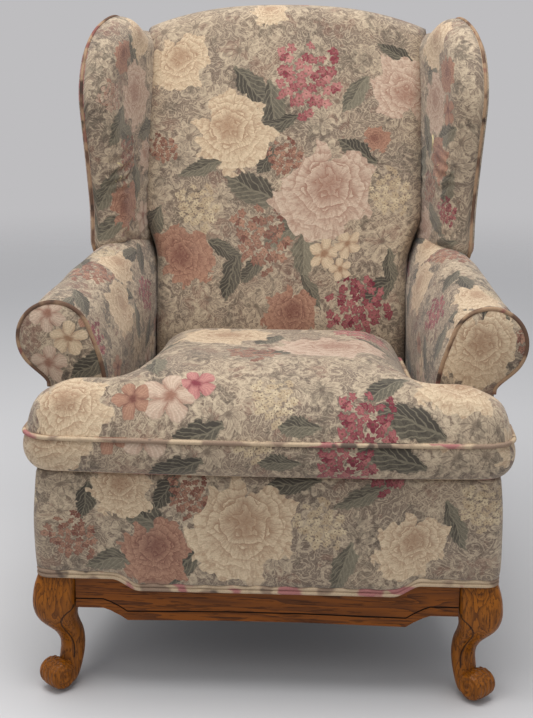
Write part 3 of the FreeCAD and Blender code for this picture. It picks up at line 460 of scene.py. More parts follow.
# The back's print, centred on the chair: u across, v up the slope from the lumbar line
backBlossoms = [
    (-195, 495, 62, 20, "rose", "cream"), (-88, 352, 78, 70, "rose", "cream"),
    (40, 452, 78, 0, "cluster", "rose"), (222, 455, 70, 200, "rose", "peach"),
    (76, 236, 100, 0, "rose", "peach"), (4, 303, 42, 30, "cluster", "rust"),
    (-38, 150, 70, 10, "cluster", "rust"), (-190, 120, 62, 120, "rose", "rust"),
    (20, 10, 56, 0, "rose", "rust"), (160, 30, 70, 80, "cluster", "crimson"),
    (85, 128, 34, 10, "daisy", "cream"), (128, 145, 30, 50, "daisy", "cream"),
    (120, 98, 26, 30, "daisy", "cream"), (-155, 208, 48, 15, "cluster", "bloom"),
    (195, 240, 50, 40, "cluster", "bloom"), (-28, 590, 36, 40, "rose", "cream"),
    (-222, 320, 34, 60, "cluster", "rust"), (172, 345, 26, 100, "rose", "rust"),
]
backLeaves = [
    (-60, 440, 60, 30, 130, 0.9), (-20, 400, 62, 30, 100, 0.7), (-10, 372, 50, 22, 20, 1.0),
    (-52, 245, 70, 36, -25, 0.8), (-30, 300, 34, 20, 60, 1.1), (-110, 130, 45, 20, 150, 1.0),
    (-100, 85, 60, 26, 75, 1.0), (-60, 95, 40, 20, 50, 0.9), (5, 165, 55, 26, 30, 0.5),
    (45, 125, 60, 28, 95, 0.2), (135, 320, 48, 24, -30, 0.9), (200, 60, 52, 26, 40, 0.9),
    (220, 100, 45, 20, 100, 0.7), (130, 430, 50, 22, 60, 0.4), (-150, 285, 50, 20, 20, 0.6),
    (205, 520, 45, 20, -20, 0.9), (60, 60, 50, 16, 120, 0.7), (-240, 180, 45, 22, 60, 0.7),
]

# The border's print: u across, v is the height over the floor
borderBlossoms = [
    (-41, 287, 92, 0, "rose", "cream"), (-223, 352, 52, 40, "rose", "cream"),
    (223, 262, 60, 0, "rose", "cream"), (-122, 345, 40, 0, "cluster", "rust"),
    (-170, 250, 60, 30, "rose", "rust"), (-300, 262, 48, 40, "cluster", "rust"),
    (85, 300, 46, 40, "cluster", "bloom"), (180, 400, 52, 0, "cluster", "crimson"),
    (330, 330, 45, 0, "cluster", "bloom"),
]
borderLeaves = [
    (-188, 310, 62, 30, -30, 0.7), (-140, 226, 60, 28, 40, 0.9), (-155, 352, 40, 22, 60, 1.1),
    (-280, 330, 40, 20, 80, 1.0), (40, 368, 50, 22, 10, 1.0), (150, 352, 60, 20, 25, 0.5),
    (290, 300, 55, 20, 110, 0.6), (120, 235, 55, 22, 70, 0.4), (-240, 225, 50, 24, 20, 0.5),
]

# The cushion's print: u across, v from the front (negative) to the back
seatBlossoms = [
    (-300, -412, 68, 60, "rose", "cream"), (295, -350, 76, 20, "rose", "cream"),
    (-150, -395, 50, 10, "daisy", "peach"), (-205, -400, 36, 40, "daisy", "rust"),
    (-110, -370, 36, 40, "daisy", "rose"), (150, -440, 60, 0, "cluster", "crimson"),
    (95, -180, 100, 0, "rose", "peach"), (-90, -80, 85, 0, "rose", "cream"),
    (150, -10, 70, 0, "cluster", "rose"), (10, -400, 45, 10, "cluster", "bloom"),
    (-30, -250, 55, 10, "cluster", "rust"), (-20, 60, 50, 0, "rose", "rust"),
]
seatLeaves = [
    (-110, -455, 56, 26, 20, 0.9), (215, -425, 70, 30, -20, 1.0), (180, -370, 50, 24, 40, 0.8),
    (-10, -110, 60, 26, 70, 0.8), (10, -240, 60, 26, 10, 0.8), (-180, -300, 60, 24, 100, 0.5),
    (170, -110, 55, 24, 130, 0.9), (-180, -120, 60, 26, 60, 0.7), (50, -440, 40, 18, 0, 0.6),
]
fabricBack = printedCloth("fabric back", backBlossoms, backLeaves, (0.62, 0.66))
fabricBorder = printedCloth("fabric border", borderBlossoms, borderLeaves, (0.72, 0.40))
fabricSeat = printedCloth("fabric seat", seatBlossoms, seatLeaves, (0.74, 0.60))
print("cloth materials ready")


def weltCloth(name, base, pale, red, deep):
    # bias-cut strips of the same cloth, so colours change along the cord
    material, tree, shader = newMaterial(name)
    place = tree.objectPlace()
    patch, _ = tree.noise(place, 17.0, 2.0, 0.5, flat=False)
    other, _ = tree.noise(tree.vector("ADD", place, (3.1, 1.7, 0.4)), 24.0, 2.0, 0.5, flat=False)
    colour = tree.mix(tree.step(patch, 0.42, 0.5), tone(*base), tone(*pale))
    colour = tree.mix(tree.step(patch, 0.58, 0.63), colour, tone(*red))
    colour = tree.mix(tree.step(other, 0.6, 0.66), colour, tone(*deep))
    fine, _ = tree.noise(place, 520.0, 3.0, 0.8, flat=False)
    colour = tree.mix(1.0, colour, tree.timesPlus(fine, 0.9, 0.55), blend="MULTIPLY")
    tree.fill(shader, {"Base Color": colour, "Roughness": 0.9, "Specular IOR Level": 0.2})
    addBump(tree, shader, fine, 0.0006, 0.6)
    return material


def oakWood(name, base, dark, grainAxis):
    # open-grained oak: bowed growth rings, long dark pores and dark incised lines
    material, tree, shader = newMaterial(name)
    place = tree.objectPlace()
    stretch = {"x": (2.2, 30.0, 30.0), "z": (30.0, 30.0, 5.0)}[grainAxis]
    along = tree.vector("MULTIPLY", place, stretch)
    _, shift = tree.noise(along, 0.6, 2.0, 0.5, flat=False)
    band, _ = tree.noise(tree.vector("ADD", along, shift), 0.9, 2.0, 0.5, flat=False)
    bands = tree.math("FRACT", tree.times(band, 13.0))
    ring = tree.math("POWER", bands, 2.2)
    colour = tree.faded(tone(*base), ring, 0.85, tone(*dark))
    pore, _ = tree.noise(tree.vector("MULTIPLY", along, (6.0, 6.0, 6.0)), 2.2, 2.0, 0.6, flat=False)
    pores = tree.step(pore, 0.54, 0.64)
    colour = tree.faded(colour, pores, 0.6, tone(48, 24, 8))
    blotch, _ = tree.noise(place, 9.0, 3.0, 0.6, flat=False)
    colour = tree.faded(colour, tree.step(blotch, 0.5, 0.8), 0.35, tone(*dark))
    line = tree.add("ShaderNodeAttribute", attribute_name="line").outputs["Fac"]
    if grainAxis == "x":
        _, y, z = tree.split(place)
        sunk = tree.below(tree.size(tree.minus(y, chair["railFace"])), chair["lineHalf"])
        line = tree.times(sunk, tree.below(z, chair["lineTop"]))
    # the incised lines on the rail and the legs are painted near-black
    colour = tree.faded(colour, line, 0.93, tone(24, 12, 6))
    tree.fill(shader, {"Base Color": colour, "Roughness": tree.timesPlus(pores, 0.25, 0.36),
                       "Specular IOR Level": 0.22, "Coat Weight": 0.03, "Coat Roughness": 0.25})
    addBump(tree, shader, tree.rest(pores), 0.0004, 0.5)
    return material


def plainSurface(name, light, dark, scale, rough, metal=0.0, relief=0.0003, stretch=(1, 1, 1)):
    # two-tone mottled surface for frame timber, wire, cambric and the like
    material, tree, shader = newMaterial(name)
    place = tree.vector("MULTIPLY", tree.objectPlace(), stretch)
    mottle, _ = tree.noise(place, scale, 4.0, 0.65, flat=False)
    colour = tree.mix(tree.step(mottle, 0.35, 0.7), tone(*light), tone(*dark))
    tree.fill(shader, {"Base Color": colour, "Metallic": metal,
                       "Roughness": tree.timesPlus(mottle, 0.2, rough - 0.1)})
    fine, _ = tree.noise(place, scale * 9, 2.0, 0.6, flat=False)
    addBump(tree, shader, fine, relief, 0.6)
    return material


def wovenSurface(name, light, dark, pitch, relief=0.0008):
    # coarse plain weave on flat or curved cloth
    material, tree, shader = newMaterial(name)
    place = tree.objectPlace()
    x, y, z = tree.split(place)
    flatY = tree.plus(y, z)
    across = tree.sine(tree.times(x, math.pi / pitch))
    along = tree.sine(tree.times(flatY, math.pi / pitch))
    threads = tree.size(tree.times(across, along))
    slub, _ = tree.noise(place, 60.0, 3.0, 0.7, flat=False)
    share = tree.timesPlus(threads, 0.6, tree.times(slub, 0.5), clamp=True)
    colour = tree.mix(share, tone(*dark), tone(*light))
    tree.fill(shader, {"Base Color": colour, "Roughness": 0.92})
    addBump(tree, shader, share, relief, 0.7)
    return material


weltFabric = weltCloth(
    "fabric welt", (146, 124, 106), (190, 168, 140), (166, 112, 108), (104, 90, 80))
facingWelt = weltCloth(
    "fabric facing welt", (104, 80, 66), (158, 130, 104), (130, 84, 76), (74, 60, 52))
oakRail = oakWood("oak rail", (128, 68, 4), (72, 34, 2), "x")
oakLeg = oakWood("oak leg", (148, 86, 18), (82, 42, 6), "z")
frameTimber = plainSurface(
    "frame timber", (190, 160, 118), (150, 118, 80), 14, 0.75, stretch=(1, 1, 4))
plyTimber = plainSurface(
    "plywood", (196, 166, 122), (160, 126, 84), 18, 0.75, stretch=(4, 1, 1))
foamStuff = plainSurface("foam", (222, 208, 164), (204, 186, 138), 220, 0.95, relief=0.001)
wireSteel = plainSurface("spring wire", (120, 120, 122), (84, 82, 80), 50, 0.42, metal=1.0)
burlapCloth = wovenSurface("burlap", (176, 146, 100), (104, 80, 48), 0.0022)
cambricCloth = wovenSurface("cambric", (52, 50, 50), (24, 23, 24), 0.0009)
deckCloth = wovenSurface("deck_lining", (164, 146, 126), (120, 104, 88), 0.0009, relief=0.0004)
glidePlastic = plainSurface("glide plastic", (58, 54, 50), (38, 36, 34), 40, 0.5)
zipCloth = wovenSurface("zipper tape", (156, 138, 116), (110, 94, 76), 0.0007, relief=0.0003)
brassMetal = plainSurface("aged brass", (176, 146, 88), (120, 94, 50), 120, 0.35, metal=1.0)

cadFinish = {
    "front_rail": oakRail,
    "back_post": oakLeg,
    "rear_rail": frameTimber, "side_rail": frameTimber, "corner_blocks": frameTimber,
    "back_crest_rail": frameTimber, "back_lower_rail": frameTimber,
    "arm_stump": frameTimber, "arm_board": frameTimber,
    "wing_board": plyTimber, "arm_face_board": plyTimber,
    "floor_glides": glidePlastic,
    "seat_springs": wireSteel, "back_springs": wireSteel, "spring_clips": wireSteel,
    "deck_burlap": burlapCloth,
    "cushion_foam": foamStuff, "back_foam": foamStuff, "deck_pad": foamStuff,
    "front_edge_roll": foamStuff, "arm_foam": foamStuff, "wing_foam": foamStuff,
    "zipper_slider": brassMetal, "zipper_tape": zipCloth,
}
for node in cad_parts:
    key = node.replace("_left", "").replace("_right", "")
    thing = bpy.data.objects.get(node)
    if thing is not None and key in cadFinish:
        # a plain solid of the frame keeps its mesh and takes the material
        thing.data.materials.clear()
        thing.data.materials.append(cadFinish[key])


# Mesh building
def clothGrid(columns, rows, place, lay, closedColumns=False):
    # a flat grid whose cloth coordinates are stored before it is shaped
    work = bmesh.new()
    bmesh.ops.create_grid(work, x_segments=columns, y_segments=rows, size=0.5)
    layer = work.loops.layers.uv.new("cloth")
    for face in work.faces:
        for loop in face.loops:
            s, t = loop.vert.co.x + 0.5, loop.vert.co.y + 0.5
            loop[layer].uv = lay(s, t)
    for vert in work.verts:
        s, t = vert.co.x + 0.5, vert.co.y + 0.5
        vert.co = Vector(place(s, t))
    if closedColumns:
        bmesh.ops.remove_doubles(work, verts=work.verts, dist=1e-6)
    return work


def show(thing):
    bpy.context.scene.collection.objects.link(thing)
    return thing


def limited(value):
    return min(max(value, 0.0), 1.0)


def eased(value):
    share = limited(value)
    return share * share * (3 - 2 * share)


def newPiece(name, work, material):
    # the object that shows a finished mesh
    mesh = bpy.data.meshes.new(name)
    work.to_mesh(mesh)
    work.free()
    mesh.materials.append(material)
    return show(bpy.data.objects.new(name, mesh))


def wall(piece, thickness):
    # gives an open panel its cloth thickness, inward
    modifier = piece.modifiers.new("wall", "SOLIDIFY")
    modifier.thickness = thickness
    modifier.offset = -1


def finish(name, work, material, stands=(), core=None, rider=body,
           thickness=None):
    bmesh.ops.recalc_face_normals(work, faces=work.faces)
    if core is not None:
        # an open panel faces away from the padding behind it
        lean = sum((face.calc_center_median() - Vector(core)).dot(face.normal) * face.calc_area()
                   for face in work.faces)
        if lean < 0:
            bmesh.ops.reverse_faces(work, faces=work.faces)
    for face in work.faces:
        face.smooth = True
    piece = newPiece(name, work, material)
    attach(piece, rider)
    if stands:
        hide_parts(*stands)
    if thickness:
        wall(piece, thickness)
    return piece


def foamBehind(name, source, node, gap, thickness=None, rider=body, keep=None):
    # the soft layer that fills a cover, following the cover's own shape
    work = bmesh.new()
    work.from_mesh(source.data)
    work.normal_update()
    bmesh.ops.remove_doubles(work, verts=work.verts, dist=1e-6)
    work.normal_update()
    if keep:
        spare = [face for face in work.faces if not keep(face.calc_center_median())]
        bmesh.ops.delete(work, geom=spare, context="FACES")
    shifts = [vert.normal * gap for vert in work.verts]
    for vert, shift in zip(work.verts, shifts):
        vert.co -= shift
    piece = newPiece(name, work, foamStuff)
    if thickness:
        wall(piece, thickness)
    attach(piece, rider)
    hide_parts(node)


def smoothRun(points, rounds=3, closed=False):
    # corner cutting on a run of points
    run = np.array(points, dtype=float)
    for _ in range(rounds):
        following = np.roll(run, -1, axis=0) if closed else run[1:]
        start = run if closed else run[:-1]
        first = 0.75 * start + 0.25 * following
        second = 0.25 * start + 0.75 * following
        mixed = np.empty((len(first) * 2, run.shape[1]))
        mixed[0::2], mixed[1::2] = first, second
        run = mixed if closed else np.vstack([run[:1], mixed, run[-1:]])
    return run


def evenRun(run, count, closed=False):
    # the same run with evenly spaced points, and its length
    line = np.vstack([run, run[:1]]) if closed else np.asarray(run, dtype=float)
    reach = np.concatenate([[0], np.cumsum(np.linalg.norm(np.diff(line, axis=0), axis=1))])
    marks = np.linspace(0, reach[-1], count + 1 if closed else count)
    even = np.stack([np.interp(marks, reach, values) for values in line.T], axis=1)
    return (even[:-1] if closed else even), reach[-1]


def tube(name, run, radius, material, stands, closed=False, rider=body):
    # a round cord along a run of points
    curve = bpy.data.curves.new(name, "CURVE")
    curve.dimensions = "3D"
    curve.bevel_depth = radius
    curve.bevel_resolution = 4
    curve.use_fill_caps = not closed
    spline = curve.splines.new("POLY")
    spline.points.add(len(run) - 1)
    for point, spot in zip(spline.points, run):
        point.co = (spot[0], spot[1], spot[2], 1.0)
    spline.use_cyclic_u = closed
    holder = show(bpy.data.objects.new(name + "_path", curve))
    bpy.context.view_layer.update()
    graph = bpy.context.evaluated_depsgraph_get()
    mesh = bpy.data.meshes.new_from_object(holder.evaluated_get(graph))
    bpy.data.objects.remove(holder)
    work = bmesh.new()
    work.from_mesh(mesh)
    bpy.data.meshes.remove(mesh)
    bmesh.ops.remove_doubles(work, verts=work.verts, dist=1e-6)
    finish(name, work, material, stands, rider=rider)


def ripple(spot, scale, seed=0.0):
    return noise.noise(Vector((spot[0] * scale + seed, spot[1] * scale - seed, spot[2] * scale)))


def railOutside(y):
    slope = (chair["rearHalf"] - chair["frontHalf"]) / (chair["backLine"] - chair["postFront"])
    return chair["frontHalf"] + slope * (y - chair["postFront"])


def rearPlane(height, depth):
    return chair["backLine"] + depth / cosRake + (height - chair["railTop"]) * tanRake


def sideways(forward):
    # unit vectors in plan, square to a run's own direction
    out = np.stack([forward[:, 1], -forward[:, 0]], axis=1)
    return out / np.linalg.norm(out, axis=1, keepdims=True)


def edgeFinder(edge):
    # distance from a point to a closed outline, and the outline's nearest point
    starts, ends = np.asarray(edge), np.roll(edge, -1, axis=0)
    along = ends - starts
    squared = np.maximum((along ** 2).sum(axis=1), 1e-12)

    def find(point):
        share = np.clip(((point - starts) * along).sum(axis=1) / squared, 0, 1)
        nearest = starts + share[:, None] * along
        gaps = np.linalg.norm(point - nearest, axis=1)
        index = int(gaps.argmin())
        return gaps[index], nearest[index]

    return find


def pillow(outline, centre, rings, count, place, lay, wrap=0.0, radius=0.04):
    # a panel filled in rings from its centre to its outline, close together at the edge
    edge, _ = evenRun(outline, count, closed=True)
    middle = np.array(centre)
    work = bmesh.new()
    bmesh.ops.create_grid(work, x_segments=count, y_segments=rings, size=0.5)
    layer = work.loops.layers.uv.new("cloth")

    def flat(s, t):
        index = int(round(s * count)) % count
        share = 1 - (1 - t) ** 1.7
        return middle + (edge[index] - middle) * share

    find = edgeFinder(edge)
    for face in work.faces:
        for loop in face.loops:
            t = loop.vert.co.y + 0.5
            spot = flat(loop.vert.co.x + 0.5, t)
            if wrap:
                # the cloth runs on down the domed side instead of stretching there
                inward, nearest = find(spot)
                way = nearest - middle if inward < 1e-5 else nearest - spot
                extra = wrap * (1 - domed(0.0 if t > 0.9999 else inward, radius))
                spot = spot + way / np.linalg.norm(way) * extra
            loop[layer].uv = lay(spot)
    for vert in work.verts:
        spot = flat(vert.co.x + 0.5, vert.co.y + 0.5)
        inward = 0.0 if vert.co.y > 0.4999 else find(spot)[0]
        vert.co = Vector(place(spot, inward))
    bmesh.ops.remove_doubles(work, verts=work.verts, dist=2e-6)
    return work


def domed(inward, radius):
    # 0 at the edge, 1 from one radius inward, round like a quarter circle
    share = limited(inward / radius)
    return math.sqrt(1 - (1 - share) ** 2)


def settle(piece, pinned, frames, pressure, cap):
    # cloth with inner pressure fills a padded mesh, and no point moves past the cap
    mesh = piece.data
    start = np.empty(len(mesh.vertices) * 3)
    mesh.vertices.foreach_get("co", start)
    group = piece.vertex_groups.new(name="held")
    for index, weight in pinned.items():
        group.add([index], weight, "REPLACE")
    modifier = piece.modifiers.new("cloth", "CLOTH")
    wanted = {
        "quality": 5, "mass": 0.35, "tension_stiffness": 12, "compression_stiffness": 12,
        "shear_stiffness": 4, "bending_stiffness": 0.6, "air_damping": 3, "use_pressure": True,
        "uniform_pressure_force": pressure, "vertex_group_mass": "held",
    }
    for setting, value in wanted.items():
        setattr(modifier.settings, setting, value)
    modifier.settings.effector_weights.gravity = 0
    modifier.collision_settings.use_collision = False
    modifier.point_cache.frame_start = 1
    modifier.point_cache.frame_end = frames
    scene = bpy.context.scene
    for step in range(1, frames + 1):
        scene.frame_set(step)
    graph = bpy.context.evaluated_depsgraph_get()
    moved = piece.evaluated_get(graph).to_mesh()
    end = np.empty_like(start)
    moved.vertices.foreach_get("co", end)
    piece.evaluated_get(graph).to_mesh_clear()
    piece.modifiers.remove(modifier)
    piece.vertex_groups.remove(group)
    shift = (end - start).reshape(-1, 3)
    size = np.linalg.norm(shift, axis=1, keepdims=True)
    shift *= np.minimum(1.0, cap / np.maximum(size, 1e-9))
    mesh.vertices.foreach_set("co", start + shift.reshape(-1))
    mesh.update()
    scene.frame_set(1)
    print("settled", piece.name, "moved up to %.1f mm" % (size.max() * 1000))


# Loose T cushion
cushion = {
    "frontEdge": -0.424,
    "earHalf": 0.374,
    "earBack": -0.306,
    "stemFront": 0.251,
    "stemRear": 0.222,
    "rearEdge": 0.100,
    "bottom": 0.3766,
    "boxing": 0.058,
    "crown": 0.080,
    "crownReach": 0.100,
    "pressedReach": 0.045,
    "overhang": 0.005,
    "bulge": 0.006,
    "tuckUnder": 0.012,
    "cornerRound": 0.045,
    "frontBow": 0.012,
    "welt": 0.0036,
    "backDrop": 0.41,
    "pucker": 0.0022,
    "boxingWave": 0.0016,
    "lowSeam": 0.0030,
    "topSeamOut": 0.0022,
    "lowSeamIn": 0.005,
    "foamGap": 0.010,
    "rimGather": 0.034,
    "hemGather": 0.055,
    "cap": 0.022,
    "earCells": 12,
    "stemCells": 50,
    "earRows": 12,
    "stemRows": 40,
    "boxingPrint": (0.03, -0.845),
}
cushion["columns"] = cushion["stemCells"] + 2 * cushion["earCells"]
cushion["rows"] = cushion["earRows"] + cushion["stemRows"]


def cushionSpot(i, j):
    # plan position of grid line i across and j from the front, before rounding
    c = cushion
    fromCentre = i - c["columns"] / 2
    half = c["stemCells"] / 2
    if j <= c["earRows"]:
        y = c["frontEdge"] + (c["earBack"] - c["frontEdge"]) * j / c["earRows"]
        stem = c["stemFront"]
    else:
        share = (j - c["earRows"]) / c["stemRows"]
        y = c["earBack"] + (c["rearEdge"] - c["earBack"]) * share
        stem = c["stemFront"] + (c["stemRear"] - c["stemFront"]) * share
    if abs(fromCentre) <= half:
        x = stem * fromCentre / half
    else:
        beyond = (abs(fromCentre) - half) / c["earCells"]
        x = math.copysign(c["stemFront"] + (c["earHalf"] - c["stemFront"]) * beyond, fromCentre)
    return x, y


def roundedCorner(x, y):
    # front corners of the ears, square to round
    c = cushion
    radius = c["cornerRound"]
    cx, cy = c["earHalf"] - radius, c["frontEdge"] + radius
    dx, dy = abs(x) - cx, cy - y
    if dx > 0 and dy > 0:
        far = max(dx, dy)
        length = math.hypot(dx, dy)
        dx, dy = dx * far / length, dy * far / length
        x, y = math.copysign(cx + dx, x), cy - dy
    forward = max(0.0, (c["earBack"] - y) / (c["earBack"] - c["frontEdge"]))
    return x, y + c["frontBow"] * (x / c["earHalf"]) ** 2 * forward


def buildCushion():
    c = cushion
    columns, rows = c["columns"], c["rows"]
    work = bmesh.new()
    bmesh.ops.create_grid(work, x_segments=columns, y_segments=rows, size=0.5)
    layer = work.loops.layers.uv.new("cloth")
    gone = []
    for face in work.faces:
        middle = face.calc_center_median()
        column = (middle.x + 0.5) * columns - columns / 2
        row = (middle.y + 0.5) * rows
        if row > c["earRows"] and abs(column) > c["stemCells"] / 2:
            # beside the stem, behind the ears
            gone.append(face)
    bmesh.ops.delete(work, geom=gone, context="FACES")
    for vert in work.verts:
        i = round((vert.co.x + 0.5) * columns)
        j = round((vert.co.y + 0.5) * rows)
        x, y = roundedCorner(*cushionSpot(i, j))
        vert.co = Vector((x, y, c["bottom"] + c["boxing"]))
    for face in work.faces:
        for loop in face.loops:
            loop[layer].uv = (loop.vert.co.x, loop.vert.co.y)
    copied = bmesh.ops.duplicate(work, geom=work.verts[:] + work.edges[:] + work.faces[:])
    lower = [item for item in copied["geom"] if isinstance(item, bmesh.types.BMVert)]
    lowerFaces = [item for item in copied["geom"] if isinstance(item, bmesh.types.BMFace)]
    bmesh.ops.translate(work, verts=lower, vec=(0, 0, -c["boxing"]))
    bmesh.ops.reverse_faces(work, faces=lowerFaces)
    rims = [edge for edge in work.edges if edge.is_boundary]
    band = bmesh.ops.bridge_loops(work, edges=rims)
    uprights = [
        edge for face in band["faces"] for edge in face.edges
        if abs(edge.verts[0].co.z - edge.verts[1].co.z) > 0.01
    ]
    bmesh.ops.subdivide_edges(work, edges=list(set(uprights)), cuts=5, use_grid_fill=True)
    work.normal_update()
    shiftU, shiftV = c["boxingPrint"]
    for face in work.faces:
        normal = face.normal
        if abs(normal.z) > 0.5:
            continue
        for loop in face.loops:
            spot = loop.vert.co
            along = spot.x if abs(normal.y) > 0.6 else spot.y * (1 if spot.x > 0 else -1)
            loop[layer].uv = (along + shiftU, spot.z + shiftV)
    outline = np.array([roundedCorner(*p) for p in cushionOutline()])
    isPressed = outline[:, 1] > c["earBack"] - 0.002
    openEdge, pressedEdge = outline[~isPressed], outline[isPressed]
    out = sideways(np.roll(outline, -1, axis=0) - np.roll(outline, 1, axis=0))
    top = c["bottom"] + c["boxing"]

    def risen(spot):
        # free edges round over slowly, edges against the arms and back stand up
        rise = 1.0
        for edge, reach in ((openEdge, c["crownReach"]), (pressedEdge, c["pressedReach"])):
            share = min(np.hypot(*(edge - spot).T).min() / reach, 1.0)
            rise *= (1 - (1 - share) ** 2) ** 0.5
        return rise

    for face in work.faces:
        if face.calc_center_median().z < top - 0.001:
            continue
        for loop in face.loops:
            spot = np.array(loop.vert.co[:2])
            way = out[int(np.hypot(*(outline - spot).T).argmin())]
            loop[layer].uv = tuple(spot + way * c["rimGather"] * (1 - risen(spot)))
    for vert in work.verts:
        spot = np.array([vert.co.x, vert.co.y])
        gaps = np.hypot(*(outline - spot).T)
        near = int(gaps.argmin())
        gap, nearest = gaps[near], outline[near]
        if vert.co.z > top - 0.001:
            if gap < 1e-5:
                continue
            pucker = c["pucker"] * ripple((*nearest, 0), 46, 7) * math.exp(-gap / 0.02)
            vert.co.z += c["crown"] * risen(spot) * crownLevel(vert.co.y) + pucker
            if not isPressed[near]:
                lean = c["overhang"] * math.sin(math.pi * min(gap / c["crownReach"] * 2.2, 1.0))
                vert.co.x += out[near][0] * lean
                vert.co.y += out[near][1] * lean
            continue
        share = (vert.co.z - c["bottom"]) / c["boxing"]
        outward = c["bulge"] * math.sin(math.pi * share) ** 0.7 - c["tuckUnder"] * (1 - share) ** 4
        wave = ripple((nearest[0] * 1.6, nearest[1] * 1.6, share), 34, 2)
        outward += c["boxingWave"] * wave * math.sin(math.pi * share)
        if share < 0.001:
            outward = -c["tuckUnder"] * max(0.0, 1 - gap / c["hemGather"])
        vert.co.x += out[near][0] * outward
        vert.co.y += out[near][1] * outward
    return work


def crownLevel(y):
    # the pillow stands highest over the ears and eases down towards the back
    share = limited((y - cushion["earBack"]) / (cushion["rearEdge"] - cushion["earBack"]))
    return 1.0 - cushion["backDrop"] * share ** 0.8


def cushionOutline():
    # the cushion's outline point by point, on the grid lines of buildCushion
    columns, rows, ears = cushion["columns"], cushion["rows"], cushion["earRows"]
    left, right = cushion["earCells"], columns - cushion["earCells"]
    corners = [(0, 0), (columns, 0), (columns, ears), (right, ears),
               (right, rows), (left, rows), (left, ears), (0, ears)]
    run = []
    for (i, j), (nextI, nextJ) in zip(corners, corners[1:] + corners[:1]):
        steps = abs(nextI - i) + abs(nextJ - j)
        run += [cushionSpot(i + (nextI - i) * step // steps, j + (nextJ - j) * step // steps)
                for step in range(steps)]
    return run


cushionPiece = finish("seat_cushion", buildCushion(), fabricSeat, ("cushion_cover",),
                      rider=cushionBody)
topLevel = cushion["bottom"] + cushion["boxing"]
outlinePlan = [roundedCorner(*spot) for spot in cushionOutline()]
pins = {}
topRim = []
for vert in cushionPiece.data.vertices:
    if vert.co.z < cushion["bottom"] + 0.002:
        pins[vert.index] = 1.0
    elif abs(vert.co.z - topLevel) < 0.0005:
        pins[vert.index] = 0.8
        topRim.append(vert.index)
settle(cushionPiece, pins, 20, 5.0, cushion["cap"])


def topSeam():
    # the settled seam's points, in the outline's own order
    spots = [cushionPiece.data.vertices[index].co for index in topRim]
    ordered = []
    for x, y in outlinePlan:
        spot = min(spots, key=lambda co: (co.x - x) ** 2 + (co.y - y) ** 2)
        if not ordered or (Vector(ordered[-1]) - spot).length > 1e-4:
            ordered.append(tuple(spot))
    return np.array(ordered)


def pushedOut(run, amount):
    # moves a closed plan run outward by one distance
    out = sideways(np.roll(run, -1, axis=0) - np.roll(run, 1, axis=0))
    side = np.hstack([out, np.zeros((len(run), 1))])
    sign = np.sign(((run - run.mean(axis=0)) * side).sum())
    return run + side * amount * sign


topCord = pushedOut(smoothRun(topSeam(), 1, True), cushion["topSeamOut"])
lowCord = np.array([(x, y, cushion["bottom"] + cushion["lowSeam"]) for x, y in outlinePlan])
lowCord = pushedOut(lowCord, -cushion["lowSeamIn"] - cushion["tuckUnder"])
for level, rim in (("top", topCord), ("bottom", lowCord)):
    tube("cushion_%s_cord" % level, evenRun(rim, 420, True)[0], cushion["welt"], weltFabric,
         ("cushion_%s_welt" % level,), True, cushionBody)
rounding = cushionPiece.modifiers.new("smooth", "SUBSURF")
rounding.levels = rounding.render_levels = 1
foamBehind("cushion_core", cushionPiece, "cushion_foam", cushion["foamGap"], rider=cushionBody)
print("cushion made")


# Arms
arm = {
    "front": -0.282,
    "innerFront": 0.262,
    "innerRear": 0.233,
    "topFront": 0.618,
    "topRear": 0.660,
    "overFront": 0.053,
    "overRear": 0.045,
    "rollFront": 0.058,
    "rollRear": 0.040,
    "base": 0.372,
    "rearEnd": 0.262,
    "hemAt": (-0.289, -0.06, 0.175),
    "hemHeight": (0.492, 0.525, 0.552),
    "swell": 0.004,
    "pull": 0.0022,
    "loose": 0.003,
    "tuck": 0.004,
    "facing": 0.008,
    "faceBulge": 0.012,
    "faceCentre": (0.072, 0.545),
    "facePrint": {-1: (0.33, -0.10), 1: (0.55, 0.04)},
    "foamGap": 0.006,
    "foam": 0.014,
    "cloth": 0.004,
    "welt": 0.0038,
}


def armRun(y):
    # the arm's section at one depth, from the deck over the roll to the outside hem
    share = (y - arm["front"]) / (chair["backLine"] - arm["front"])

    def between(first, last):
        return arm[first] + (arm[last] - arm[first]) * share

    inner, radius = between("innerFront", "innerRear"), between("rollFront", "rollRear")
    outer = railOutside(y)
    cx = outer + between("overFront", "overRear") - radius
    cz = between("topFront", "topRear") - radius
    run = [(inner, arm["base"]), (inner, arm["base"] + 0.05), (inner, cz - 0.95 * radius)]
    for angle in range(160, -51, -14):
        turn = math.radians(angle)
        run.append((cx + radius * math.cos(turn), cz + radius * math.sin(turn)))
    hem = np.interp(y, arm["hemAt"], arm["hemHeight"])
    run += [(outer + 0.006, min(cz - 1.15 * radius, hem + 0.012)), (outer + 0.005, hem - 0.012)]
    return smoothRun(run, 2)


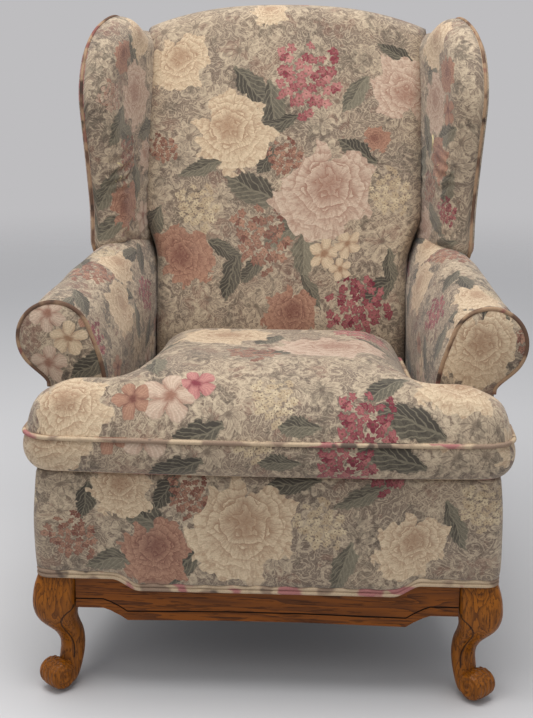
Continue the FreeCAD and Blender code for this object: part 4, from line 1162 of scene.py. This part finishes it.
def buildArm(side, label):
    rows, columns = 44, 56
    lines = {}
    for row in range(rows + 1):
        y = arm["front"] + (arm["rearEnd"] - arm["front"]) * row / rows
        lines[row], _ = evenRun(armRun(y), columns + 1)

    def place(s, t):
        row, column = round(t * rows), round(s * columns)
        x, z = lines[row][column]
        y = arm["front"] + (arm["rearEnd"] - arm["front"]) * row / rows
        swell = math.sin(math.pi * min(t * 1.1, 1)) * math.sin(math.pi * min(s * 1.2, 1))
        swell *= arm["swell"]
        pull = arm["pull"] * ripple((x, y * 0.5, z), 30, 4 * side)
        pull += arm["loose"] * ripple((x, y, z), 9, side)
        tuck = -arm["tuck"] * math.exp(-t * 22)
        middle = lines[row].mean(axis=0)
        way = np.array([x, z]) - middle
        way /= max(np.linalg.norm(way), 1e-6)
        x, z = np.array([x, z]) + way * (swell + pull + tuck)
        return side * x, y, z

    def lay(s, t):
        return 0.62 * s - 0.30 + 0.17 * side, 0.55 * t + 0.08 + 0.2 * (side > 0)

    work = clothGrid(columns, rows, place, lay)
    core = (side * (arm["innerFront"] + 0.06), -0.05, 0.54)
    piece = finish("arm_cover_" + label, work, fabricArms, ("inside_arm_cover_" + label,), core,
                   thickness=arm["cloth"])
    foamBehind("arm_padding_" + label, piece, "arm_foam_" + label, arm["foamGap"], arm["foam"],
               keep=lambda spot: spot.y < 0.2 and spot.z > 0.42)

    frontLine, _ = evenRun(armRun(arm["front"]), 120)
    frontY = arm["front"] - arm["facing"]
    edge = [(side * x, frontY - 0.0005, z) for x, z in frontLine]
    tube("arm_facing_cord_" + label, edge, arm["welt"], facingWelt, ("arm_facing_welt_" + label,))
    outline = [tuple(p) for p in frontLine] + [(frontLine[-1][0], arm["base"])]
    centre = (arm["innerFront"] + arm["faceCentre"][0], arm["faceCentre"][1])

    def facePlace(spot, inward):
        bulge = arm["faceBulge"] * domed(inward, 0.045)
        return side * spot[0], frontY + 0.001 - bulge, spot[1]

    shift = arm["facePrint"][side]
    panel = pillow(outline, centre, 12, 150, facePlace,
                   lambda spot: (side * spot[0] + shift[0], spot[1] + shift[1]))
    finish("arm_face_pad_" + label, panel, fabricArms, ("arm_facing_" + label,),
           (side * centre[0], 0.0, centre[1]), thickness=arm["cloth"])


armBlossoms = [
    (12, 462, 32, 15, "daisy", "cream"), (240, 340, 60, 15, "rose", "cream"),
    (-20, 420, 34, 15, "daisy", "peach"), (-20, 500, 32, 50, "daisy", "peach"),
    (50, 500, 30, 80, "daisy", "rust"), (140, 420, 50, 20, "cluster", "crimson"),
    (158, 252, 66, 20, "rose", "cream"), (-100, 250, 60, 20, "cluster", "rust"),
    (-80, 360, 40, 20, "cluster", "bloom"),
]
armLeaves = [
    (50, 420, 50, 24, 30, 0.8), (180, 300, 50, 24, 130, 0.9), (-50, 300, 60, 26, 60, 0.7),
    (100, 330, 50, 22, 0, 0.6), (-120, 420, 50, 22, 90, 0.9), (220, 460, 50, 22, 40, 0.9),
]
fabricArms = printedCloth("fabric arms", armBlossoms, armLeaves, (0.36, 0.34), 0.6)
for side, label in sides:
    buildArm(side, label)
print("arms made")


# Wings
wing = {
    "bottom": 0.630,
    "lowReach": 0.207,
    "reach": 0.270,
    "reachDrop": 0.158,
    "topDrop": 0.020,
    "valleyDrop": 0.049,
    "board": 0.276,
    "inDepth": 0.041,
    "crease": 0.0029,
    "creaseHigh": (0.765, 0.045),
    "creaseLow": (0.665, 0.025),
    "loose": 0.003,
    "spread": {-1: 0.001, 1: 0.006},
    "printShift": {-1: 0.30, 1: -0.42},
    "centre": (0.120, 0.850),
    "sideWrap": 0.030,
    "foamGap": 0.011,
    "foam": 0.012,
    "cloth": 0.003,
    "outDepth": 0.019,
    "middle": 0.004,
    "edgeRound": 0.042,
    "behind": -0.054,
    "postFace": 0.2890,
    "welt": 0.0030,
}


def wingOutline():
    # forward of the back's plane and height, once round the wing
    far, low = wing["reach"], wing["lowReach"]
    mid = chair["crest"] - wing["reachDrop"]
    top = chair["crest"] - wing["topDrop"]
    valley = chair["crest"] - wing["valleyDrop"]
    return [
        (wing["behind"], wing["bottom"] - 0.034),
        (wing["behind"], valley), (0.045, valley), (0.080, (valley + top) / 2),
        (0.115, top), (0.160, top - 0.005), (far - 0.055, top - 0.024),
        (far - 0.020, top - 0.054), (far - 0.004, top - 0.096), (far, mid),
        (far - 0.012, mid - 0.042), (far - 0.027, mid - 0.090), (far - 0.048, mid - 0.162),
        (far - 0.061, mid - 0.214), (low, wing["bottom"] + 0.004),
        (low - 0.05, wing["bottom"] - 0.006), (0.08, wing["bottom"] - 0.028),
    ]


splayTan = math.tan(chair["splay"])
wingNormal = Vector((1.0, splayTan, -splayTan * tanRake)).normalized()


def wingSpot(forward, height, outward):
    # a point of the wing's plane, moved square to it
    x = wing["board"] + splayTan * forward
    y = rearPlane(height, 0) - forward
    return Vector((x, y, height)) + wingNormal * outward


def wingSeam(forward):
    # the seam sits in the wing's middle plane, and moves out to the post's face behind it
    share = eased((0.035 - forward) / 0.05)
    toFace = (wing["postFace"] - wing["board"] - splayTan * forward) / wingNormal.x
    return wing["middle"] + (toFace - wing["middle"]) * share


def buildWing(side, label):
    outline = smoothRun(wingOutline(), 2, True)
    centre = wing["centre"]

    def placed(forward, height, outward):
        point = wingSpot(forward, height, outward)
        return side * (point.x + wing["spread"][side]), point.y, point.z

    def bellAt(height, spot):
        return math.exp(-((height - spot[0]) / spot[1]) ** 2)

    def innerPlace(spot, inward):
        forward, height = spot
        swell = domed(inward, wing["edgeRound"])
        crease = math.sin(height * 300 + 9 * ripple((forward, height * 0.6, 0), 16, side))
        bells = bellAt(height, wing["creaseHigh"]) + 0.8 * bellAt(height, wing["creaseLow"])
        crease *= wing["crease"] * swell * bells
        loose = wing["loose"] * ripple((forward, height, 0.3), 11, 2 + side) * swell
        seam = wingSeam(forward)
        return placed(forward, height, seam - (wing["inDepth"] + seam) * swell - crease - loose)

    def outerPlace(spot, inward):
        forward, height = spot
        swell = domed(inward, 0.016)
        seam = wingSeam(forward)
        return placed(forward, height, max(seam, seam + (wing["outDepth"] - seam) * swell))

    def lay(spot):
        return side * spot[0] + wing["printShift"][side], (spot[1] - 0.50) * 1.03

    middle = wingSpot(centre[0], centre[1], wing["middle"])
    core = (side * middle.x, middle.y, middle.z)
    innerMesh = pillow(outline, centre, 26, 220, innerPlace, lay,
                       wing["sideWrap"], wing["edgeRound"])
    inner = finish("wing_pad_" + label, innerMesh, fabricWings, ("inside_wing_cover_" + label,),
                   core, thickness=wing["cloth"])
    outerMesh = pillow(outline, centre, 12, 150, outerPlace, lay)
    finish("wing_back_panel_" + label, outerMesh, fabricBack, ("outside_wing_cover_" + label,),
           core, thickness=wing["cloth"])
    foamBehind("wing_padding_" + label, inner, "wing_foam_" + label, wing["foamGap"], wing["foam"],
               keep=lambda spot: spot.y < rearPlane(spot.z, 0) - 0.02 and side * spot.x < 0.31)
    edge, _ = evenRun(outline, 240, True)
    seam = [placed(forward, height, wingSeam(forward) + 0.004) for forward, height in edge]
    tube("wing_cord_" + label, seam, wing["welt"], facingWelt, ("wing_welt_" + label,), True)


wingBlossoms = [
    (103, 491, 34, 20, "rose", "rust"), (165, 416, 62, 70, "rose", "peach"),
    (130, 308, 40, 10, "cluster", "rust"), (130, 222, 46, 130, "rose", "rust"),
    (205, 190, 34, 40, "daisy", "peach"), (185, 530, 46, 60, "rose", "cream"),
    (60, 420, 36, 60, "cluster", "peach"), (215, 300, 30, 60, "rose", "peach"),
    (-290, 520, 58, 10, "rose", "cream"), (-215, 462, 36, 10, "rose", "rust"),
    (-276, 405, 58, 50, "rose", "peach"), (-250, 310, 44, 90, "rose", "rust"),
    (-300, 250, 38, 90, "cluster", "rust"), (-335, 168, 44, 30, "rose", "peach"),
    (-210, 400, 30, 30, "daisy", "rust"), (-225, 215, 30, 30, "cluster", "crimson"),
]
wingLeaves = [
    (85, 368, 50, 26, 60, 0.5), (120, 350, 50, 24, 150, 0.5), (215, 350, 46, 24, 20, 0.5),
    (170, 262, 50, 24, 100, 0.5), (75, 250, 50, 22, 70, 0.5), (150, 500, 44, 22, 120, 0.5),
    (85, 180, 50, 24, 30, 0.5), (-290, 470, 44, 22, 40, 0.5), (-320, 345, 50, 26, 110, 0.5),
    (-220, 355, 50, 26, 20, 0.5), (-350, 290, 50, 24, 70, 0.5), (-270, 195, 50, 24, 150, 0.5),
    (-215, 260, 44, 22, 60, 0.5), (-240, 150, 50, 24, 20, 0.5),
]
fabricWings = printedCloth("fabric wings", wingBlossoms, wingLeaves, (0.80, 0.80), 0.5)
for side, label in sides:
    buildWing(side, label)
print("wings made")


# Inside back
back = {
    "halfLow": 0.240,
    "halfHigh": 0.268,
    "widenLow": 0.600,
    "widenHigh": 0.700,
    "drop": 0.060,
    "sideTuck": 0.060,
    "sideRound": 0.032,
    "archFrom": 0.80,
    "archEase": 1.2,
    "flatFrom": 0.98,
    "crown": 0.012,
    "loose": 0.003,
    "fine": 0.0012,
    "foamGap": 0.006,
    "foam": 0.022,
    "cloth": 0.004,
    "rearmost": 0.047,
    "clothHalf": 0.262,
    "lumbar": 0.131,
}
backProfile = smoothRun([
    (0.108, 0.372), (0.108, 0.430), (0.110, 0.500), (0.140, 0.590), (0.216, 0.820),
    (0.270, 0.985), (0.288, 1.040), (0.306, 1.064), (0.336, 1.071), (0.372, 1.068),
    (0.410, 1.058), (0.432, 1.045),
], 2)


def buildBack():
    rows, columns = 84, 56
    profile, length = evenRun(backProfile, rows + 1)

    def arch(x):
        half = back["halfHigh"] + 0.035
        return back["drop"] * min(abs(x) / half, 1.0) ** 2.5

    def halfWidth(z):
        share = eased((z - back["widenLow"]) / (back["widenHigh"] - back["widenLow"]))
        return back["halfLow"] + (back["halfHigh"] - back["halfLow"]) * share

    def place(s, t):
        y, z = profile[round(t * rows)]
        across = 2 * s - 1
        half = halfWidth(z)
        x = across * half
        rise = max(0.0, (z - back["archFrom"]) / (chair["crest"] - back["archFrom"]))
        z -= arch(x) * rise ** back["archEase"]
        edge = half * (1 - abs(across))
        tuckedIn = (1 - domed(edge, back["sideRound"])) * back["sideTuck"]
        tuckedIn *= 1 - 0.45 * limited((z - back["flatFrom"]) / 0.08)
        crown = back["crown"] * (1 - across ** 2) * math.sin(math.pi * min(t * 1.25, 1))
        loose = back["loose"] * ripple((x, z, 0), 8, 3)
        loose += back["fine"] * ripple((x, z * 0.6, 1), 26, 5)
        y = min(y + tuckedIn - crown + loose, rearPlane(z, back["rearmost"]))
        return x, y, z

    def lay(s, t):
        return (2 * s - 1) * back["clothHalf"], t * length - back["lumbar"]

    return clothGrid(columns, rows, place, lay)


backPiece = finish("inside_back", buildBack(), fabricBack, ("inside_back_cover",),
                   (0.0, 0.33, 0.75), thickness=back["cloth"])
foamBehind("back_padding", backPiece, "back_foam", back["foamGap"], back["foam"],
           keep=lambda spot: abs(spot.x) < 0.215 and spot.y < 0.335)
print("back made")


# Front border, its side returns and the lap over the deck edge
border = {
    "half": 0.359,
    "face": -0.396,
    "corner": 0.020,
    "returnEnd": -0.288,
    "middle": 0.194,
    "stepOut": 0.241,
    "stepIn": 0.197,
    "bulge": 0.0035,
    "flare": 0.005,
    "lap": 0.035,
    "faceShare": 0.8,
    "wave": 0.0022,
    "pleat": 0.0016,
    "edgeRise": 0.002,
    "cordDrops": (0.0036, 0.0106),
    "cordProud": 0.0034,
    "welt": 0.0036,
}


def borderPlan(margin=0.0):
    # from the rear of the right return, forward, round the corner and across to the left
    half, face, radius = border["half"] + margin, border["face"] - margin, border["corner"]
    run = [(half, border["returnEnd"]), (half, face + radius)]
    for step in range(1, 8):
        turn = math.pi / 2 * step / 8
        run.append((half - radius + radius * math.cos(turn),
                    face + radius - radius * math.sin(turn)))
    run.append((half - radius, face))
    left = [(-x, y) for x, y in reversed(run)]
    return np.array(run + left)


def borderLow(x):
    # the lower edge rises in an eased step towards the middle of the apron
    share = eased((border["stepOut"] - abs(x)) / (border["stepOut"] - border["stepIn"]))
    return chair["hem"] + (border["middle"] - chair["hem"]) * share


def lowerEdge(x, y):
    # stepped along the front only
    return borderLow(x) if y < border["face"] + 0.03 else chair["hem"]


def buildBorder():
    columns, rows = 190, 26
    plan, length = evenRun(borderPlan(), columns + 1)
    out = sideways(np.gradient(plan, axis=0))
    if (out[columns // 2] @ np.array([0, -1])) < 0:
        out = -out

    def place(s, t):
        column = round(s * columns)
        x, y = plan[column]
        low = lowerEdge(x, y)
        top = chair["deckTop"] - border["edgeRise"]
        if t <= border["faceShare"]:
            share = t / border["faceShare"]
            z = low + (top - low) * share
            puff = border["bulge"] * math.sin(math.pi * share) ** 0.6
            puff += border["wave"] * ripple((x, z, 0), 12, 8)
            puff += border["pleat"] * math.sin(x * 150) * math.exp(-share * 7)
            puff += border["flare"] * (1 - share)
            return x + out[column][0] * puff, y + out[column][1] * puff, z
        share = (t - border["faceShare"]) / (1 - border["faceShare"])
        inward = border["lap"] * share
        z = top + border["edgeRise"] * (math.sin(math.pi * share) - share)
        return x - out[column][0] * inward, y - out[column][1] * inward, z

    def lay(s, t):
        onFace, onLap = min(t / border["faceShare"], 1), max(0, t - border["faceShare"])
        return (0.5 - s) * length, 0.20 + 0.18 * onFace + onLap * 0.17

    return clothGrid(columns, rows, place, lay)


finish("front_border", buildBorder(), fabricBorder,
       ("front_border_cover", "border_return_left", "border_return_right"), (0.0, 0.0, 0.3),
       thickness=0.003)


def doubleWelt():
    # two cords side by side under the border, across the front and along both sides to the back
    plan = [tuple(p) for p in borderPlan(border["flare"] - 0.0040)]
    proud = border["cordProud"]
    right = [
        (chair["rearHalf"] + proud, rearPlane(0.3, 0.05)),
        (chair["rearHalf"] + proud, chair["backLine"]),
        (chair["frontHalf"] + proud, chair["postFront"] + 0.02),
    ]
    whole = right + plan + [(-x, y) for x, y in reversed(right)]
    even, _ = evenRun(np.array(whole), 520)
    upper, lower = border["cordDrops"]
    for label, drop, stands in (("upper", upper, ("double_welt",)), ("lower", lower, ())):
        run = [(x, y, lowerEdge(x, y) - drop) for x, y in even]
        tube("double_cord_" + label, run, border["welt"], weltFabric, stands)


doubleWelt()
print("border made")


# Front legs: a cabriole curve from a square block to a scroll foot, with an incised S line
leg = {
    # height, outer edge, inner edge, middle from the front, half depth, squareness
    "profile": [
        (0.214, 0.3570, 0.3025, 0.3600, 0.0265, 7.0),
        (0.196, 0.3630, 0.3025, 0.3630, 0.0295, 6.0),
        (0.180, 0.3685, 0.3028, 0.3650, 0.0325, 5.0),
        (0.163, 0.3712, 0.3030, 0.3668, 0.0345, 4.2),
        (0.147, 0.3722, 0.3032, 0.3672, 0.0352, 3.6),
        (0.131, 0.3694, 0.3042, 0.3662, 0.0340, 3.2),
        (0.118, 0.3631, 0.3055, 0.3630, 0.0310, 2.9),
        (0.105, 0.3514, 0.3026, 0.3580, 0.0265, 2.7),
        (0.094, 0.3424, 0.2987, 0.3525, 0.0235, 2.5),
        (0.080, 0.3360, 0.2965, 0.3490, 0.0205, 2.4),
        (0.066, 0.3345, 0.2960, 0.3475, 0.0195, 2.3),
        (0.053, 0.3360, 0.2970, 0.3500, 0.0200, 2.3),
        (0.040, 0.3370, 0.2990, 0.3535, 0.0215, 2.3),
        (0.026, 0.3380, 0.3020, 0.3580, 0.0220, 2.3),
        (0.013, 0.3360, 0.3060, 0.3620, 0.0205, 2.3),
        (0.006, 0.3310, 0.3120, 0.3630, 0.0150, 2.2),
        (0.0042, 0.3260, 0.3170, 0.3630, 0.0080, 2.2),
    ],
    "line": [
        (0.3055, 0.150), (0.3062, 0.144), (0.3151, 0.1386), (0.3226, 0.1298), (0.3256, 0.121),
        (0.3243, 0.1107), (0.3195, 0.0987), (0.3135, 0.0832), (0.3097, 0.0694), (0.3100, 0.0501),
    ],
    "lineWidth": 0.0011,
    "lineDepth": 0.0014,
    "roll": (0.336, -0.380, 0.0272),
    "rollRadius": 0.0232,
    "rollHalf": 0.0215,
    "spiral": 0.0012,
    "spiralTurns": 2.2,
    "boss": 0.0026,
    "ridge": 0.0007,
    "ridgePitch": 0.0085,
    "chatter": 0.0006,
    "sole": 0.0042,
    "lineZone": {"low": 0.045, "high": 0.16, "across": 0.335, "front": -0.352},
}
legLine = smoothRun(leg["line"], 3)


def gapToLine(x, z):
    starts, along = legLine[:-1], np.diff(legLine, axis=0)
    spot = np.array([x, z])
    share = np.clip(((spot - starts) * along).sum(axis=1) / (along ** 2).sum(axis=1), 0, 1)
    return np.linalg.norm(spot - (starts + share[:, None] * along), axis=1).min()


def inLine(x, y, z):
    # 1 in the middle of the incised line on the leg's front, 0 away from it
    zone = leg["lineZone"]
    if not zone["low"] <= z <= zone["high"] or abs(x) > zone["across"] or y > zone["front"]:
        return 0.0
    share = (gapToLine(abs(x), z) - leg["lineWidth"] * 0.5) / (leg["lineWidth"] * 0.9)
    return 1 - limited(share)


def buildLeg(side, label):
    levels = np.array(leg["profile"])[::-1]
    weight = np.array([1, 1, 1, 1, 1, 0.01])
    rows, columns = 190, 150
    marks, _ = evenRun(smoothRun(levels * weight, 2), rows + 1)

    def place(s, t):
        z, out, into, deep, half, power = marks[round(t * rows)] / weight
        angle = 2 * math.pi * s
        across, middle = (out - into) / 2, (out + into) / 2
        cosine, sine = math.cos(angle), math.sin(angle)
        shrink = (abs(cosine) ** power + abs(sine) ** power) ** (-1 / power)
        x = middle + across * shrink * cosine
        y = -deep - half * shrink * sine
        y += leg["lineDepth"] * inLine(x, y, z)
        return side * x, y, z

    work = clothGrid(columns, rows, place, lambda s, t: (s * 0.2, t * 0.3), True)
    rims = [edge for edge in work.edges if edge.is_boundary]
    bmesh.ops.holes_fill(work, edges=rims, sides=0)
    piece = finish("scroll_leg_" + label, work, oakLeg, ("front_leg_" + label,))
    # marks the points where the incised line is painted near-black
    lineMark = piece.data.attributes.new("line", "FLOAT", "POINT")
    for index, vert in enumerate(piece.data.vertices):
        lineMark.data[index].value = inLine(vert.co.x, vert.co.y - 0.0006, vert.co.z)


def buildScroll(side, label):
    # the rolled-up foot end: a short barrel across the corner, with a spiral on each end
    columns, rows = 72, 60
    x, y, z = leg["roll"]
    middle = Vector((side * x, y, z))
    axle = Vector((-side, -1, 0)).normalized()
    outward = Vector((side, -1, 0)).normalized()
    radius, half = leg["rollRadius"], leg["rollHalf"]
    shares = [(0.0, -1), (0.5, -1), (0.86, -1), (0.97, -0.7), (1, 0.0)]
    shares += [(away, -along) for away, along in reversed(shares[:-1])]
    run = smoothRun([(radius * away, half * along) for away, along in shares], 2)
    even, _ = evenRun(run, rows + 1)

    def place(s, t):
        away, along = even[round(t * rows)]
        angle = 2 * math.pi * s
        if abs(along) > half * 0.9:
            end = np.sign(along)
            share = away / radius
            groove = math.cos(angle * side * end + share * 2 * math.pi * leg["spiralTurns"])
            boss = leg["spiral"] * groove + leg["boss"] * (1 - share)
            along += end * boss * min(1, away / 0.004)
        else:
            away += leg["ridge"] * math.cos(along * 2 * math.pi / leg["ridgePitch"])
            away += leg["chatter"] * math.sin(angle * 14) * max(0, math.sin(angle))
        rise = Vector((0, 0, away * math.sin(angle)))
        return middle + axle * along + outward * away * math.cos(angle) + rise

    work = clothGrid(columns, rows, place, lambda s, t: (s * 0.2, t * 0.1), True)
    for vert in work.verts:
        vert.co.z = max(vert.co.z, leg["sole"])
    bmesh.ops.remove_doubles(work, verts=work.verts, dist=1e-5)
    finish("foot_scroll_" + label, work, oakLeg)


for side, label in sides:
    buildLeg(side, label)
    buildScroll(side, label)
print("legs made")


# Outside panels
outside = {
    "half": 0.291,
    "shoulder": 0.986,
    "archDrop": 0.006,
    "archPower": 2.6,
    "depth": 0.0535,
    "dome": 0.006,
    "cloth": 0.003,
    "welt": 0.0036,
    "armGap": 0.003,
}


def flatPanel(name, outline, centre, place, stands, core, shift):
    work = pillow(outline, centre, 14, 200,
                  lambda spot, inward: place(spot, outside["dome"] * domed(inward, 0.05)),
                  lambda spot: (spot[0] + shift[0], spot[1] + shift[1]))
    finish(name, work, fabricBack, stands, core, thickness=outside["cloth"])


def outsideBackOutline():
    half = outside["half"]
    upright = [(half, z) for z in (chair["hem"], 0.4, 0.6, 0.8, outside["shoulder"])]
    arch = []
    for step in range(1, 16):
        share = 1 - step / 8
        rise = chair["crest"] - outside["archDrop"] - outside["shoulder"]
        arch.append((half * share,
                     outside["shoulder"] + rise * (1 - abs(share) ** outside["archPower"])))
    hem = [(x, chair["hem"]) for x in (-0.15, 0, 0.15)]
    return np.array(upright + arch + [(-x, z) for x, z in reversed(upright)] + hem)


def outsideBackPlace(spot, bulge):
    x, z = spot
    return x, rearPlane(max(z, chair["railTop"]), outside["depth"]) + bulge, z


backOutline = outsideBackOutline()
flatPanel("outside_back", backOutline, (0.0, 0.62), outsideBackPlace,
          ("outside_back_cover",), (0.0, 0.1, 0.6), (0.1, -0.4))
backSeam = [outsideBackPlace(spot, 0.002) for spot in evenRun(backOutline, 420, True)[0]]
tube("outside_back_cord", backSeam, outside["welt"], weltFabric, ("outside_back_welt",), True)


def outsideArm(side, label):
    def place(spot, bulge):
        y, z = spot
        wide = max(railOutside(y), chair["rearHalf"]) + outside["armGap"]
        return side * (wide + bulge), y, z

    front, low, rear, crest = -0.289, chair["hem"], 0.226, 0.610
    outline = [
        (front, low), (-0.10, low), (0.10, low), (rear, low), (rear, 0.30),
        (rearPlane(crest, 0.050), crest), (0.215, 0.606), (0.165, 0.556), (-0.06, 0.525),
        (front, 0.492), (front, 0.35),
    ]
    flatPanel("outside_arm_" + label, np.array(outline), (-0.03, 0.36), place,
              ("outside_arm_panel_" + label,), (0.0, -0.05, 0.35), (0.15 * side, -0.2))


for side, label in sides:
    outsideArm(side, label)


# Deck under the cushion and the dust cover under the seat
lining = {
    "deckFront": -0.372,
    "deckRear": 0.112,
    "deckEars": 0.33,
    "deckGap": 0.004,
    "deckSag": 0.0025,
    "dustFront": -0.354,
    "dustRear": 0.222,
    "dustLevel": 0.1980,
    "dustSag": 0.002,
}


def stretched(s, t, front, rear, halfAt, level, sag):
    # a flat lining that hangs a little in the middle
    y = front + (rear - front) * t
    drop = sag * math.sin(math.pi * s) * math.sin(math.pi * t)
    return (2 * s - 1) * halfAt(y), y, level - drop


def deckHalf(y):
    # between the arms, and out to the ears in front of them
    if y <= -0.29:
        return lining["deckEars"]
    narrowing = (arm["innerFront"] - arm["innerRear"]) / (chair["backLine"] - arm["front"])
    return arm["innerFront"] - narrowing * (y - arm["front"]) - lining["deckGap"]


def deckPlace(s, t):
    return stretched(s, t, lining["deckFront"], lining["deckRear"], deckHalf,
                     chair["deckTop"] - 0.0005, lining["deckSag"])


finish("deck_lining", clothGrid(40, 40, deckPlace, lambda s, t: (s * 0.5, t * 0.45)), deckCloth,
       ("deck_cover",), (0.0, -0.13, 0.2), thickness=0.003)


def dustHalf(y):
    # narrower beside the legs and the posts
    if -0.33 < y < 0.17:
        return railOutside(y) - 0.010
    return railOutside(min(y, 0.17)) - 0.055


def dustPlace(s, t):
    return stretched(s, t, lining["dustFront"], lining["dustRear"], dustHalf,
                     lining["dustLevel"], lining["dustSag"])


dustGrid = clothGrid(40, 40, dustPlace, lambda s, t: (s * 0.6, t * 0.5))
dustPiece = finish("underside_sheet", dustGrid, cambricCloth, ("dust_cover",), (0.0, -0.1, 0.4))
print("panels made")


# Stage, light and camera
studio = {
    "floor": (206, 205, 205),
    "distance": (190, 189, 191),
    "clear": 2.2,
    "gone": 5.2,
    "top": 104.0,
    "key": 16.0,
    "fill": 7.0,
    "world": 0.41,
}


def buildFloor():
    # a round pale floor that fades into the distance, the same from every side
    work = bmesh.new()
    bmesh.ops.create_circle(
        work, cap_ends=True, cap_tris=True, segments=96, radius=studio["gone"] + 0.4)
    material, tree, shader = newMaterial("studio floor")
    place = tree.objectPlace()
    drift, _ = tree.noise(place, 1.4, 3.0, 0.5, flat=False)
    paint = tree.faded(tone(*studio["floor"]), drift, 0.08, tone(180, 182, 188))
    hidden = tree.step(tree.length(place), studio["clear"], studio["gone"])
    tree.fill(shader, {"Base Color": paint, "Roughness": 0.9, "Alpha": tree.rest(hidden)})
    newPiece("studio_floor", work, material)


buildFloor()


def areaLight(name, place, target, size, power, colour=(1, 1, 1)):
    lamp = bpy.data.lights.new(name, "AREA")
    lamp.shape = "RECTANGLE"
    lamp.size, lamp.size_y = size
    lamp.energy = power
    lamp.color = colour
    holder = show(bpy.data.objects.new(name, lamp))
    holder.location = place
    holder.rotation_euler = (Vector(target) - Vector(place)).to_track_quat("-Z", "Y").to_euler()


areaLight("top", (-0.2, -0.5, 3.4), (0, -0.1, 0.4), (2.6, 2.2), studio["top"])
areaLight("key", (-1.6, -2.6, 2.6), (0, 0, 0.6), (2.2, 1.6), studio["key"], (1.0, 0.985, 0.96))
areaLight("fill", (2.4, -2.2, 1.9), (0, 0, 0.5), (2.2, 2.0), studio["fill"], (0.96, 0.98, 1.0))
world = bpy.data.worlds.new("studio")
bpy.context.scene.world = world
world.use_nodes = True
sky = Tree(world.node_tree)
lit = sky.nodes["Background"]
sky.fill(lit, {"Color": (0.93, 0.95, 1.0, 1), "Strength": studio["world"]})
seen = sky.add("ShaderNodeBackground", {"Color": tone(*studio["distance"])})
ray = sky.add("ShaderNodeLightPath").outputs
either = sky.math("MAXIMUM", ray["Is Camera Ray"], ray["Is Glossy Ray"])
surface = sky.add("ShaderNodeMixShader", {0: either, 1: lit.outputs[0], 2: seen.outputs[0]})
sky.wire(sky.nodes["World Output"].inputs["Surface"], surface.outputs[0])
bpy.context.scene.view_settings.view_transform = "Standard"

viewpoint = {
    "place": (0.0930, -2.4212, 1.0796),
    "down": 14.41,
    "yaw": 2.66,
    "roll": 0.32,
    "lens": 70.14,
}
camera = show(bpy.data.objects.new("camera", bpy.data.cameras.new("camera")))
camera.data.lens = viewpoint["lens"]
camera.data.sensor_width = 36
camera.data.sensor_fit = "AUTO"
camera.matrix_world = (
    Matrix.Translation(viewpoint["place"])
    @ Matrix.Rotation(math.radians(viewpoint["yaw"]), 4, "Z")
    @ Matrix.Rotation(math.radians(90 - viewpoint["down"]), 4, "X")
    @ Matrix.Rotation(math.radians(viewpoint["roll"]), 4, "Z")
)
bpy.context.scene.camera = camera
